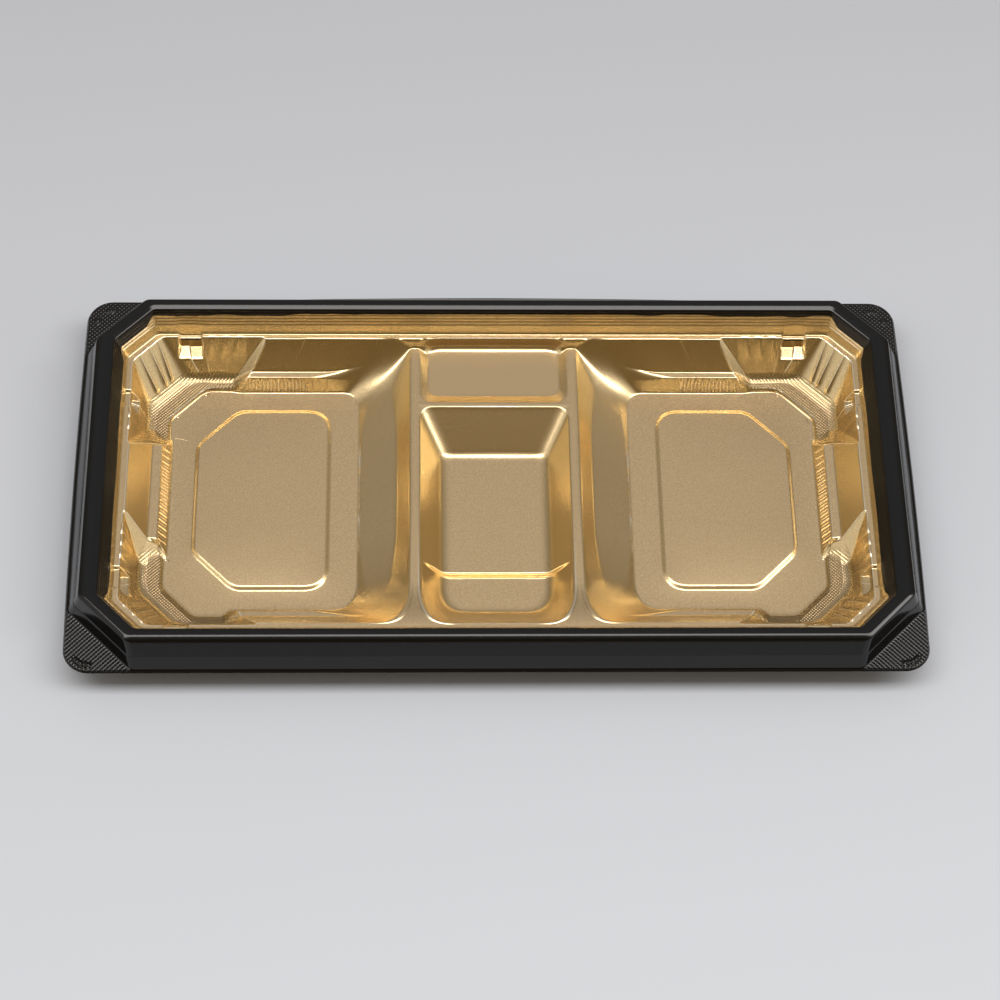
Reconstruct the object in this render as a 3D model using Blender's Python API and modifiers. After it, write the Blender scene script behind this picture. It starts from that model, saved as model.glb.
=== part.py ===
"""A shallow oblong food tray with four compartments.

The tray is one thermoformed black plastic sheet: corner tabs and flange outside, a skirt up
to a flat rim, an inner band, a ledge, and the compartments. A gold film is bonded to its
inside, from a line on the band down. Both pieces follow one design surface, the top of the
black sheet, which is modelled here as a left half and mirrored.

The tray stands on z = 0 with its middle over the origin. +X is to the right along its
length and -Y is its front.
"""
import math
from collections import namedtuple

import bmesh
import bpy

MM = 0.001

# Sheets, in millimetres like every size below
SHEET = 0.45
FILM = 0.2
FILM_GAP = 0.3

# Heights above the table, at the top of the black sheet
RIM_TOP = 23.2
LEDGE_TOP = 14.5
DIVIDER_TOP = 11.5
SMALL_FLOOR_TOP = 10.0
INNER_BREAK_TOP = 6.0
WALL_STEP_TOP = 5.5
BENCH_RIDGE_TOP = 2.2
MIDDLE_REAR_TOP = 2.0
BENCH_FOOT_TOP = 1.6
INNER_FOOT_TOP = 1.0
FLOOR_TOP = SHEET
WALL_STEP_FALL = 0.2
PLATEAU_RISE = 0.8

# Drops from the rim's top to what goes round the tray
RIM_EDGE_DROP = 0.8
SKIRT_DROP = 9.4
STEP_DROP = 10.0
FLANGE_DROP = 10.2
LIP_DROP = 10.9

# The rim's outer edge, and the widths of what lies outside and inside it
RIM_HALF_X = 125.7
RIM_HALF_Y = 61.0
LIP_RUN = 0.5
FLANGE_WIDTH = 1.7
STEP_WIDTH = 1.5
SKIRT_RUN = 1.7
EDGE_ROUND = 0.8
RIM_FACE_SIDE = 4.8
RIM_FACE_LONG = 3.2
BAND_RUN_SIDE = 3.5
BAND_RUN_LONG = 4.0
LEDGE_WIDTH_SIDE = 2.3
LEDGE_WIDTH_LONG = 1.6
TAB_RADIUS = 7.4
SIDE_BOW = 0.8

# The cut corners: the cut at the rim's outer edge, and how it changes from ring to ring
RIM_CUT = 14.9
CORNER_ROUND = 3.0
SKIRT_CUT_MORE = 1.6
STEP_CUT_LESS = 0.2
RIM_INNER_CUT_LESS = 3.4
LEDGE_OUTER_CUT_LESS = 2.3
LEDGE_INNER_CUT_LESS = 0.8

# Where the film ends on the band, as shares of the band from its top
FILM_EDGE_LONG = 0.2
FILM_EDGE_CORNER = 0.45
FILM_EDGE_SIDE = 0.75

# Dividers, and the sloped ends by which they rise to the ledge
DIVIDER_INNER_X = 23.5
DIVIDER_WIDTH = 3.2
CROSS_WIDTH = 1.8
REAR_END_LENGTH = 2.2
FRONT_END_LENGTH = 15.0
REAR_END_OUTER = 8.5
REAR_END_INNER = 8.0
FRONT_END_OUTER = 8.5
FRONT_END_INNER = 8.4

# Outer compartments: walls from the ledge to the step, the step, and the wall under it
UPPER_RUN_LONG = 7.0
UPPER_RUN_SIDE = 6.3
STEP_RUN_LONG = 2.1
STEP_RUN_SIDE = 2.8
LOWER_RUN_LONG = 2.7
LOWER_RUN_SIDE = 3.0

# Ends of the panels that stand inward between the corner pockets
PANEL_HALF_Y = 12.0
POCKET_LENGTH = 41.1
PANEL_CREASE = 1.2
PANEL_END_RUNS_X = (5.0, 6.3, 8.8)
PANEL_END_RUNS_Y = (5.4, 5.8, 8.8)
CREASE_RUNS_X = (5.7, 5.0, 2.9)
CREASE_RUNS_Y = (7.6, 5.0, 1.8)

# Corner pockets: runs from the ledge to the bench's ridge, the bench's foot and the floor
POCKET_RUNS_SIDE = (4.1, 10.3, 11.3)
POCKET_RUNS_REAR = (7.6, 10.7, 11.3)
POCKET_RUNS_FRONT = (5.8, 7.0, 10.1)
POCKET_CUTS_REAR = (11.7, 11.6, 10.6)
POCKET_CUTS_FRONT = (11.7, 11.0, 9.8)

# Slope beside the divider: runs from the divider's edge, and the rounding of its ends
INNER_RUNS = (4.1, 15.6, 16.5)
INNER_TURNS_REAR = ((7.0, 6.0), (6.0, 9.0), (5.6, 9.0))
INNER_TURNS_FRONT = ((12.0, 14.0), (8.5, 11.0), (8.0, 10.0))
INNER_TURN_MARGIN = 4.2
MOUTH_TURN_MARGIN = 8.0

# Raised plateau on each outer floor, set in from the floor's edges
PLATEAU_MARGIN_SIDE = 7.0
PLATEAU_MARGIN_INNER = 8.3
PLATEAU_MARGIN_LONG = 6.5
PLATEAU_CUT = 13.3
PLATEAU_CUT_ROUND = 7.8
PLATEAU_RADIUS = 8.5
PLATEAU_SLOPE = 1.9

# Rear middle compartment
SMALL_LENGTH = 22.3
SMALL_WALL_RUN_X = 3.5
SMALL_WALL_RUN_REAR = 1.7
SMALL_WALL_RUN_FRONT = 3.3
SMALL_FLOOR_RADIUS = 4.0
MOUTH_RADIUS = 4.2

# Front middle compartment, whose floor steps down to the front
MIDDLE_WALL_RUN_X = 6.9
MIDDLE_WALL_RUN_REAR = 12.4
MIDDLE_WALL_RUN_FRONT = 10.8
MIDDLE_FRONT_LENGTH = 12.1
MIDDLE_STEP_RUN = 1.0
MIDDLE_REAR_RADIUS = 2.5
MIDDLE_FRONT_RADIUS = 8.0

ARC_STEPS = 6
TURN_STEPS = 5
MERGE = 0.00001

RIM_INNER_X = RIM_HALF_X - EDGE_ROUND - RIM_FACE_SIDE
RIM_INNER_Y = RIM_HALF_Y - EDGE_ROUND - RIM_FACE_LONG
RIM_INNER_CUT = RIM_CUT - RIM_INNER_CUT_LESS
LEDGE_OUTER_X = RIM_INNER_X - BAND_RUN_SIDE
LEDGE_OUTER_Y = RIM_INNER_Y - BAND_RUN_LONG
LEDGE_OUTER_CUT = RIM_INNER_CUT - LEDGE_OUTER_CUT_LESS
LEDGE_X = LEDGE_OUTER_X - LEDGE_WIDTH_SIDE
LEDGE_Y = LEDGE_OUTER_Y - LEDGE_WIDTH_LONG
LEDGE_CUT = LEDGE_OUTER_CUT - LEDGE_INNER_CUT_LESS

DIVIDER_OUTER_X = DIVIDER_INNER_X + DIVIDER_WIDTH
DIVIDER_REAR_Y = LEDGE_Y - REAR_END_LENGTH
DIVIDER_FRONT_Y = FRONT_END_LENGTH - LEDGE_Y
CROSS_REAR_Y = LEDGE_Y - SMALL_LENGTH
CROSS_FRONT_Y = CROSS_REAR_Y - CROSS_WIDTH
REAR_END_X = DIVIDER_OUTER_X + REAR_END_OUTER
FRONT_END_X = DIVIDER_OUTER_X + FRONT_END_OUTER
SMALL_TURN_X = DIVIDER_INNER_X - REAR_END_INNER
MIDDLE_TURN_X = DIVIDER_INNER_X - FRONT_END_INNER
PANEL_END_X = LEDGE_X - POCKET_LENGTH

MIDDLE_FRONT_Y = MIDDLE_WALL_RUN_FRONT - LEDGE_Y
MIDDLE_STEP_FOOT_Y = MIDDLE_FRONT_Y + MIDDLE_FRONT_LENGTH
MIDDLE_STEP_Y = MIDDLE_STEP_FOOT_Y + MIDDLE_STEP_RUN

# A ring round the tray, whose short sides bow outward
Ring = namedtuple("Ring", "half_x half_y height bow")

# One level of an outer compartment's wall: panels, corner pockets and the side by the divider
Level = namedtuple(
    "Level",
    "panel_y panel_x panel_z end_x end_y crease_x crease_y "
    "rear_y front_y rear_cut front_cut pocket_x pocket_z "
    "inner_x inner_z rear_turn front_turn",
)


def arc(centre, radii, start, end, steps):
    """Points on an ellipse's arc, ends included, angles in degrees."""
    angles = [math.radians(start + (end - start) * i / steps) for i in range(steps + 1)]
    return [(centre[0] + radii[0] * math.cos(a), centre[1] + radii[1] * math.sin(a)) for a in angles]


def between(a, b, share):
    """The point at a share of the way from a to b."""
    return tuple(p + (q - p) * share for p, q in zip(a, b))


def cut_corner(half_x, half_y, cut, radius):
    """A chamfered corner with rounded ends, from the long side to the short one, in +X +Y."""
    reach = radius * math.tan(math.radians(22.5))
    top = arc((half_x - cut - reach, half_y - radius), (radius, radius), 90, 45, 2)
    side = arc((half_x - radius, half_y - cut - reach), (radius, radius), 45, 0, 2)
    return top + [between(top[-1], side[0], 0.5)] + side


def round_corner(half_x, half_y, radius):
    """A quarter circle, with as many points as cut_corner gives."""
    return arc((half_x - radius, half_y - radius), (radius, radius), 90, 0, ARC_STEPS)


def bowed(x, y, ring):
    """Moves a point of a short side outward by the side's slight bow."""
    return (x + ring.bow * (1 - (y / ring.half_y) ** 2), y)


def long_stations(turn_x, end_x):
    """Places along half of a long side where walls below it begin or end."""
    return (0.0, turn_x, end_x, end_x + MOUTH_TURN_MARGIN, PANEL_END_X, PANEL_END_X + PANEL_CREASE)


def side_stations():
    """Places along a short side where the panel below it begins or ends."""
    crease = PANEL_HALF_Y + PANEL_CREASE
    return (crease, PANEL_HALF_Y, -PANEL_HALF_Y, -crease)


def half_ring(ring, corner):
    """The left half of a ring round the tray, from its rear middle to its front middle."""
    rear = [(x, ring.half_y) for x in long_stations(SMALL_TURN_X, REAR_END_X)]
    side = [(ring.half_x, y) for y in side_stations()]
    front = [(x, -ring.half_y) for x in reversed(long_stations(MIDDLE_TURN_X, FRONT_END_X))]
    mirrored = [(x, -y) for x, y in reversed(corner)]
    points = rear + [bowed(x, y, ring) for x, y in corner + side + mirrored] + front
    return [(-x, y, ring.height) for x, y in points]


def chamfered(half_x, half_y, cut, height):
    """A half ring whose corners are cut."""
    ring = Ring(half_x, half_y, height, 0.0)
    return half_ring(ring, cut_corner(half_x, half_y, cut, CORNER_ROUND))


def rounded(half_x, half_y, radius, height):
    """A half ring whose corners are quarter circles and whose short sides bow."""
    ring = Ring(half_x, half_y, height, SIDE_BOW)
    return half_ring(ring, round_corner(half_x, half_y, radius))


def outside_rings():
    """Rings from the flange's lip up the skirt to the rim's inner edge."""
    skirt_x = RIM_HALF_X + SKIRT_RUN
    skirt_y = RIM_HALF_Y + SKIRT_RUN
    skirt_cut = RIM_CUT + SKIRT_CUT_MORE
    step_x = skirt_x + STEP_WIDTH
    step_y = skirt_y + STEP_WIDTH
    step_cut = skirt_cut - STEP_CUT_LESS
    flange_x = step_x + FLANGE_WIDTH - SIDE_BOW
    flange_y = step_y + FLANGE_WIDTH
    top_x = RIM_HALF_X - EDGE_ROUND
    top_y = RIM_HALF_Y - EDGE_ROUND
    top_cut = RIM_CUT - EDGE_ROUND * (2 - math.sqrt(2))
    return [
        rounded(flange_x + LIP_RUN, flange_y + LIP_RUN, TAB_RADIUS + LIP_RUN, RIM_TOP - LIP_DROP),
        rounded(flange_x, flange_y, TAB_RADIUS, RIM_TOP - FLANGE_DROP),
        chamfered(step_x, step_y, step_cut, RIM_TOP - STEP_DROP),
        chamfered(skirt_x, skirt_y, skirt_cut, RIM_TOP - SKIRT_DROP),
        chamfered(RIM_HALF_X, RIM_HALF_Y, RIM_CUT, RIM_TOP - RIM_EDGE_DROP),
        chamfered(top_x, top_y, top_cut, RIM_TOP),
        chamfered(RIM_INNER_X, RIM_INNER_Y, RIM_INNER_CUT, RIM_TOP),
    ]


def film_edge(inner, outer):
    """The film's edge on the band between two rings, lower on the short sides."""
    corner = [FILM_EDGE_LONG] * 2 + [FILM_EDGE_CORNER] * 3 + [FILM_EDGE_SIDE] * 2
    rear = [FILM_EDGE_LONG] * len(long_stations(SMALL_TURN_X, REAR_END_X))
    side = [FILM_EDGE_SIDE] * len(side_stations())
    shares = rear + corner + side + corner[::-1] + rear
    return [between(a, b, share) for a, b, share in zip(inner, outer, shares)]


def with_height(points, start, end):
    """Flat points given heights that run evenly from start to end."""
    last = len(points) - 1
    return [(x, y, start + (end - start) * i / last) for i, (x, y) in enumerate(points)]


def on_ramp(x, y, flat_y, edge_y):
    """A point of a divider's end, which slopes from the divider's top up to the ledge."""
    share = (y - flat_y) / (edge_y - flat_y)
    return (x, y, DIVIDER_TOP + (LEDGE_TOP - DIVIDER_TOP) * share)


def ramp_edge(turn_x, divider_x, flat_y, edge_y):
    """One curved edge of a divider's end, from the ledge to the divider's straight side."""
    centre = (-turn_x, flat_y)
    radii = (turn_x - divider_x, edge_y - flat_y)
    points = arc(centre, radii, 90, 0, TURN_STEPS)
    return [on_ramp(x, y, flat_y, edge_y) for x, y in points]


def inner_turns(level):
    """The two rounded corners of a level by the divider, each from its front end on."""
    rear_x, rear_y = level.rear_turn
    rear = arc((-level.inner_x - rear_x, level.panel_y - rear_y), level.rear_turn, 0, 90, TURN_STEPS)
    front_x, front_y = level.front_turn
    front = arc((-level.inner_x - front_x, front_y - level.panel_y), level.front_turn, 270, 360, TURN_STEPS)
    return rear, front


def pocket_ring(level):
    """One level of an outer compartment's wall, as a closed ring of points."""
    rear_corner = cut_corner(level.pocket_x, level.rear_y, level.rear_cut, CORNER_ROUND)
    front_corner = cut_corner(level.pocket_x, level.front_y, level.front_cut, CORNER_ROUND)
    rear_turn, front_turn = inner_turns(level)
    high = level.panel_z
    low = level.pocket_z
    ring = [(*rear_turn[-1], high), (rear_turn[-1][0] - INNER_TURN_MARGIN, level.panel_y, high)]
    ring += [(-level.end_x, level.panel_y, high), (-level.crease_x, level.rear_y, low)]
    ring += [(-x, y, low) for x, y in rear_corner]
    ring += [(-level.pocket_x, level.crease_y, low), (-level.panel_x, level.end_y, high)]
    ring += [(-level.panel_x, -level.end_y, high), (-level.pocket_x, -level.crease_y, low)]
    ring += [(-x, -y, low) for x, y in reversed(front_corner)]
    ring += [(-level.crease_x, -level.front_y, low), (-level.end_x, -level.panel_y, high)]
    ring += [(front_turn[0][0] - INNER_TURN_MARGIN, -level.panel_y, high)]
    ring += with_height(front_turn, high, level.inner_z)
    return ring + with_height(rear_turn, level.inner_z, high)[:-1]


def pocket_levels():
    """The wall's upper foot, the inner edge of its step or bench, and the floor's edge."""
    runs_long = (UPPER_RUN_LONG, UPPER_RUN_LONG + STEP_RUN_LONG)
    runs_long += (runs_long[-1] + LOWER_RUN_LONG,)
    runs_side = (UPPER_RUN_SIDE, UPPER_RUN_SIDE + STEP_RUN_SIDE)
    runs_side += (runs_side[-1] + LOWER_RUN_SIDE,)
    panel_tops = (WALL_STEP_TOP, WALL_STEP_TOP - WALL_STEP_FALL, FLOOR_TOP)
    pocket_tops = (BENCH_RIDGE_TOP, BENCH_FOOT_TOP, FLOOR_TOP)
    inner_tops = (INNER_BREAK_TOP, INNER_FOOT_TOP, FLOOR_TOP)
    levels = []
    for i in range(3):
        end_x = PANEL_END_X + PANEL_END_RUNS_X[i]
        end_y = PANEL_HALF_Y + PANEL_END_RUNS_Y[i]
        levels.append(Level(
            panel_y=LEDGE_Y - runs_long[i], panel_x=LEDGE_X - runs_side[i], panel_z=panel_tops[i],
            end_x=end_x, end_y=end_y,
            crease_x=end_x + CREASE_RUNS_X[i], crease_y=end_y + CREASE_RUNS_Y[i],
            rear_y=LEDGE_Y - POCKET_RUNS_REAR[i], front_y=LEDGE_Y - POCKET_RUNS_FRONT[i],
            rear_cut=POCKET_CUTS_REAR[i], front_cut=POCKET_CUTS_FRONT[i],
            pocket_x=LEDGE_X - POCKET_RUNS_SIDE[i], pocket_z=pocket_tops[i],
            inner_x=DIVIDER_OUTER_X + INNER_RUNS[i], inner_z=inner_tops[i],
            rear_turn=INNER_TURNS_REAR[i], front_turn=INNER_TURNS_FRONT[i],
        ))
    return levels


def plateau_ring(floor, inset, height):
    """The outline of the raised plateau on an outer floor."""
    out_x = floor.panel_x - PLATEAU_MARGIN_SIDE
    in_x = floor.inner_x + PLATEAU_MARGIN_INNER
    half_x = (out_x - in_x) / 2 - inset
    half_y = floor.panel_y - PLATEAU_MARGIN_LONG - inset
    middle = -(out_x + in_x) / 2
    cut = PLATEAU_CUT - inset * (2 - math.sqrt(2))
    outer = cut_corner(half_x, half_y, cut, PLATEAU_CUT_ROUND - inset)
    inner = round_corner(half_x, half_y, PLATEAU_RADIUS - inset)
    points = [(-x, y) for x, y in outer] + [(-x, -y) for x, y in reversed(outer)]
    points += [(x, -y) for x, y in inner] + [(x, y) for x, y in reversed(inner)]
    return [(middle + x, y, height) for x, y in points]


def small_mouth(ledge):
    """The rear middle compartment's mouth, from its rear middle to its front middle."""
    edge = ramp_edge(SMALL_TURN_X, DIVIDER_INNER_X, DIVIDER_REAR_Y, LEDGE_Y)
    centre = (-DIVIDER_INNER_X + MOUTH_RADIUS, CROSS_REAR_Y + MOUTH_RADIUS)
    corner = arc(centre, (MOUTH_RADIUS, MOUTH_RADIUS), 180, 270, TURN_STEPS)
    points = [(x, y, DIVIDER_TOP) for x, y in corner] + [(0.0, CROSS_REAR_Y, DIVIDER_TOP)]
    return ledge[:1] + edge + points


def small_floor():
    """The rear middle compartment's floor, point for point under its mouth."""
    radius = SMALL_FLOOR_RADIUS
    half_x = DIVIDER_INNER_X - SMALL_WALL_RUN_X
    rear_y = LEDGE_Y - SMALL_WALL_RUN_REAR
    front_y = CROSS_REAR_Y + SMALL_WALL_RUN_FRONT
    rear = arc((radius - half_x, rear_y - radius), (radius, radius), 90, 180, TURN_STEPS)
    front = arc((radius - half_x, front_y + radius), (radius, radius), 180, 270, TURN_STEPS)
    points = [(0.0, rear_y)] + rear + front + [(0.0, front_y)]
    return [(x, y, SMALL_FLOOR_TOP) for x, y in points]


def middle_mouth(ledge):
    """The front middle compartment's mouth, from its rear middle to its front middle."""
    centre = (-DIVIDER_INNER_X + MOUTH_RADIUS, CROSS_FRONT_Y - MOUTH_RADIUS)
    corner = arc(centre, (MOUTH_RADIUS, MOUTH_RADIUS), 90, 180, TURN_STEPS)
    side = [(-DIVIDER_INNER_X, MIDDLE_STEP_Y), (-DIVIDER_INNER_X, MIDDLE_STEP_FOOT_Y)]
    flat = [(0.0, CROSS_FRONT_Y)] + corner + side
    edge = ramp_edge(MIDDLE_TURN_X, DIVIDER_INNER_X, DIVIDER_FRONT_Y, -LEDGE_Y)
    return [(x, y, DIVIDER_TOP) for x, y in flat] + edge[::-1] + ledge[-1:]


def middle_floor():
    """The front middle compartment's stepped floor, point for point under its mouth."""
    rear_radius = MIDDLE_REAR_RADIUS
    front_radius = MIDDLE_FRONT_RADIUS
    half_x = DIVIDER_INNER_X - MIDDLE_WALL_RUN_X
    rear_y = CROSS_FRONT_Y - MIDDLE_WALL_RUN_REAR
    rear_centre = (rear_radius - half_x, rear_y - rear_radius)
    rear = arc(rear_centre, (rear_radius, rear_radius), 90, 180, TURN_STEPS)
    front_centre = (front_radius - half_x, MIDDLE_FRONT_Y + front_radius)
    front = arc(front_centre, (front_radius, front_radius), 180, 270, TURN_STEPS)
    high = [(0.0, rear_y)] + rear + [(-half_x, MIDDLE_STEP_Y)]
    low = [(-half_x, MIDDLE_STEP_FOOT_Y)] + front + [(0.0, MIDDLE_FRONT_Y)]
    return [(x, y, MIDDLE_REAR_TOP) for x, y in high], [(x, y, FLOOR_TOP) for x, y in low]


def add_points(bm, points):
    """Vertices for a list of points in millimetres."""
    return [bm.verts.new((x * MM, y * MM, z * MM)) for x, y, z in points]


def loft(bm, upper, lower, closed=False):
    """Faces between two rows of points of equal number."""
    a = add_points(bm, upper)
    b = add_points(bm, lower)
    count = len(a) if closed else len(a) - 1
    for i in range(count):
        j = (i + 1) % len(a)
        bm.faces.new((a[i], b[i], b[j], a[j]))


def fill(bm, *outlines):
    """A flat sheet inside the first outline and outside the others."""
    edges = []
    for outline in outlines:
        verts = add_points(bm, outline)
        edges += [bm.edges.new((verts[i - 1], verts[i])) for i in range(len(verts))]
    bmesh.ops.triangle_fill(bm, use_beauty=True, edges=edges, normal=(0, 0, 1))


def add_left_compartment(bm, ledge):
    """Walls, step, benches, floor and plateau of an outer compartment."""
    front_edge = ramp_edge(FRONT_END_X, DIVIDER_OUTER_X, DIVIDER_FRONT_Y, -LEDGE_Y)
    rear_edge = ramp_edge(REAR_END_X, DIVIDER_OUTER_X, DIVIDER_REAR_Y, LEDGE_Y)
    mouth = ledge[2:-2] + front_edge[1:] + rear_edge[:0:-1]
    levels = pocket_levels()
    rings = [mouth] + [pocket_ring(level) for level in levels]
    for upper, lower in zip(rings, rings[1:]):
        loft(bm, upper, lower, closed=True)
    foot = plateau_ring(levels[-1], 0.0, FLOOR_TOP)
    top = plateau_ring(levels[-1], PLATEAU_SLOPE, FLOOR_TOP + PLATEAU_RISE)
    fill(bm, rings[-1], foot)
    loft(bm, foot, top, closed=True)
    fill(bm, top)


def add_small_compartment(bm, ledge):
    """The shallow compartment behind the cross divider."""
    floor = small_floor()
    loft(bm, small_mouth(ledge), floor)
    fill(bm, floor)


def add_middle_compartment(bm, ledge):
    """The compartment in front of the cross divider, with a step in its floor."""
    mouth = middle_mouth(ledge)
    high, low = middle_floor()
    loft(bm, mouth, high + low)
    fill(bm, high + [(0.0, MIDDLE_STEP_Y, MIDDLE_REAR_TOP)])
    step_foot = [(0.0, MIDDLE_STEP_FOOT_Y, FLOOR_TOP)]
    loft(bm, [high[-1], (0.0, MIDDLE_STEP_Y, MIDDLE_REAR_TOP)], [low[0]] + step_foot)
    fill(bm, low + step_foot)


def add_dividers(bm, ledge):
    """The flat T of the dividers and the sloped ends that rise to the ledge."""
    small = small_mouth(ledge)
    middle = middle_mouth(ledge)
    rear_edge = ramp_edge(REAR_END_X, DIVIDER_OUTER_X, DIVIDER_REAR_Y, LEDGE_Y)
    front_edge = ramp_edge(FRONT_END_X, DIVIDER_OUTER_X, DIVIDER_FRONT_Y, -LEDGE_Y)
    loft(bm, rear_edge, small[1:TURN_STEPS + 2])
    loft(bm, front_edge, middle[-2:-TURN_STEPS - 3:-1])
    flat = [front_edge[-1], rear_edge[-1]] + small[TURN_STEPS + 1:]
    flat += middle[:-TURN_STEPS - 1]
    fill(bm, flat)


def design_surface(name, full):
    """The mesh of the tray's top surface, whole for the sheet or inside only for the film."""
    bm = bmesh.new()
    outside = outside_rings()
    ledge_outer = chamfered(LEDGE_OUTER_X, LEDGE_OUTER_Y, LEDGE_OUTER_CUT, LEDGE_TOP)
    ledge = chamfered(LEDGE_X, LEDGE_Y, LEDGE_CUT, LEDGE_TOP)
    edge = film_edge(outside[-1], ledge_outer)
    rings = outside + [edge, ledge_outer, ledge] if full else [edge, ledge_outer, ledge]
    for upper, lower in zip(rings, rings[1:]):
        loft(bm, upper, lower)
    add_left_compartment(bm, ledge)
    add_small_compartment(bm, ledge)
    add_middle_compartment(bm, ledge)
    add_dividers(bm, ledge)
    bmesh.ops.remove_doubles(bm, verts=bm.verts, dist=MERGE)
    bmesh.ops.triangulate(bm, faces=bm.faces, quad_method="SHORT_EDGE")
    bmesh.ops.recalc_face_normals(bm, faces=bm.faces)
    turn_upward(bm)
    mesh = bpy.data.meshes.new(name)
    bm.to_mesh(mesh)
    bm.free()
    return mesh


def turn_upward(bm):
    """Flips the whole surface if its faces point down."""
    if sum(face.normal.z * face.calc_area() for face in bm.faces) < 0:
        bmesh.ops.reverse_faces(bm, faces=bm.faces)


def plastic(name, colour, roughness, metallic):
    """A Principled material."""
    material = bpy.data.materials.new(name)
    material.use_nodes = True
    shader = material.node_tree.nodes["Principled BSDF"]
    shader.inputs["Base Color"].default_value = (*colour, 1.0)
    shader.inputs["Roughness"].default_value = roughness
    shader.inputs["Metallic"].default_value = metallic
    return material


def add_piece(name, collection, material, full):
    """An object whose half surface is mirrored."""
    piece = bpy.data.objects.new(name, design_surface(name, full))
    collection.objects.link(piece)
    piece.data.materials.append(material)
    mirror = piece.modifiers.new("Mirror", "MIRROR")
    mirror.use_mirror_merge = True
    mirror.merge_threshold = MERGE
    return piece


def thicken(piece, thickness, upward):
    """Gives a surface its thickness, above or below itself."""
    solid = piece.modifiers.new("Thickness", "SOLIDIFY")
    solid.thickness = thickness * MM
    solid.offset = 1.0 if upward else -1.0
    solid.use_even_offset = True
    solid.use_quality_normals = True


def add_tray(collection):
    """The black formed sheet, whose top face is the design surface."""
    black = plastic("black_plastic", (0.012, 0.012, 0.014), 0.32, 0.0)
    thicken(add_piece("tray_shell", collection, black, True), SHEET, False)


def add_film(collection):
    """The gold film, lifted off the sheet by a working gap."""
    gold = plastic("gold_film", (0.50, 0.36, 0.15), 0.38, 1.0)
    film = add_piece("gold_film", collection, gold, False)
    lift = film.modifiers.new("Lift", "DISPLACE")
    lift.direction = "NORMAL"
    lift.mid_level = 0.0
    lift.strength = FILM_GAP * MM
    thicken(film, FILM, True)


def clear_scene():
    """Removes the objects that the scene starts with."""
    for item in list(bpy.data.objects):
        bpy.data.objects.remove(item, do_unlink=True)


def main():
    """Builds the tray."""
    clear_scene()
    collection = bpy.data.collections.new("bento_tray")
    bpy.context.scene.collection.children.link(collection)
    add_tray(collection)
    add_film(collection)


main()
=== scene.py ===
"""Looks of the bento tray: the black formed sheet, the gold film, and a small studio.

The tray's surfaces are sheets of points in millimetres, made ring by ring. Their sizes follow the
solids' and depart from them by up to about 3 mm, at the skirt, where the photograph shows it.
Grooves, ribs, bulges and flutes move the points along the sheet's normals, nibs push them outward,
and the knurling is in the materials. +X is to the right along the tray and -Y is its front.
"""
import math
from collections import namedtuple

import bmesh
import bpy
import numpy as np
from mathutils import Matrix, Vector
from mathutils.geometry import delaunay_2d_cdt


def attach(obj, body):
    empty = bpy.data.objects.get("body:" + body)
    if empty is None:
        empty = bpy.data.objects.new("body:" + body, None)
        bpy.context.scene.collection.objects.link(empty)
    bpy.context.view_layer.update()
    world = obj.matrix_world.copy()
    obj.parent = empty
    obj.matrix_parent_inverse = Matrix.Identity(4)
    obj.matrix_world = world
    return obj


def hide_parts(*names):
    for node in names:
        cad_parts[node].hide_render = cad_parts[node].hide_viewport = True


MM = 0.001

# Heights of the black sheet's top
RIM_TOP = 23.2
LEDGE_TOP = 14.5
DIVIDER_TOP = 11.5
SMALL_FLOOR_TOP = 9.8
INNER_BREAK_TOP = 6.0
WALL_STEP_TOP = 5.5
BENCH_RIDGE_TOP = 2.2
MIDDLE_REAR_TOP = 2.0
BENCH_FOOT_TOP = 1.6
INNER_FOOT_TOP = 1.0
FLOOR_TOP = 0.45
WALL_STEP_FALL = 0.2
PLATEAU_RISE = 0.8

# Drops from the rim's top to what goes round the tray
RIM_EDGE_DROP = 0.65
SKIRT_DROP = 5.6
STEP_DROP = 6.2
SLOPE_DROP = 9.8
FLANGE_DROP = 10.2
LIP_DROP = 10.9

# The rim and what lies outside and inside it
RIM_HALF_X = 125.7
RIM_HALF_Y = 61.0
SKIRT_X = 127.4
SKIRT_Y = 63.9
STEP_RUN_X = 0.4
STEP_RUN_Y = 0.3
SLOPE_X = 129.2
SLOPE_Y = 66.0
SLOPE_BOW = 0.5
FLANGE_X = 129.8
FLANGE_Y = 66.3
LIP_RUN = 0.45
EDGE_ROUND = 1.2
RIM_CREST_SHARE = 0.3
RIM_FALL_OUT = 0.15
RIM_FALL_IN = 0.75
RIM_FACE_SIDE = 4.4
RIM_FACE_LONG = 2.8
BAND_RUN_SIDE = 3.5
BAND_RUN_LONG = 4.0
LEDGE_WIDTH_SIDE = 2.3
LEDGE_WIDTH_LONG = 1.6
TAB_RADIUS = 7.4
SIDE_BOW = 0.8
REAR_BOW_OUT = 1.2
REAR_BOW_UP = 1.0
REAR_BOW_REACH = 105.0
RIM_CUT = 14.9
CORNER_ROUND = 3.0
SKIRT_CUT = 17.6
STEP_CUT = 17.8
SLOPE_CUT = 19.3
RIM_INNER_CUT_LESS = 3.4
LEDGE_OUTER_CUT_LESS = 2.3
LEDGE_INNER_CUT_LESS = 0.8

# Dividers, and the sloped ends by which they rise to the ledge
DIVIDER_INNER_X = 23.5
DIVIDER_WIDTH = 3.2
CROSS_WIDTH = 1.8
REAR_END_LENGTH = 2.2
FRONT_END_LENGTH = 15.0
REAR_END_OUTER = 12.5
REAR_END_INNER = 8.0
FRONT_END_OUTER = 8.5
FRONT_END_INNER = 8.4

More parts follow.
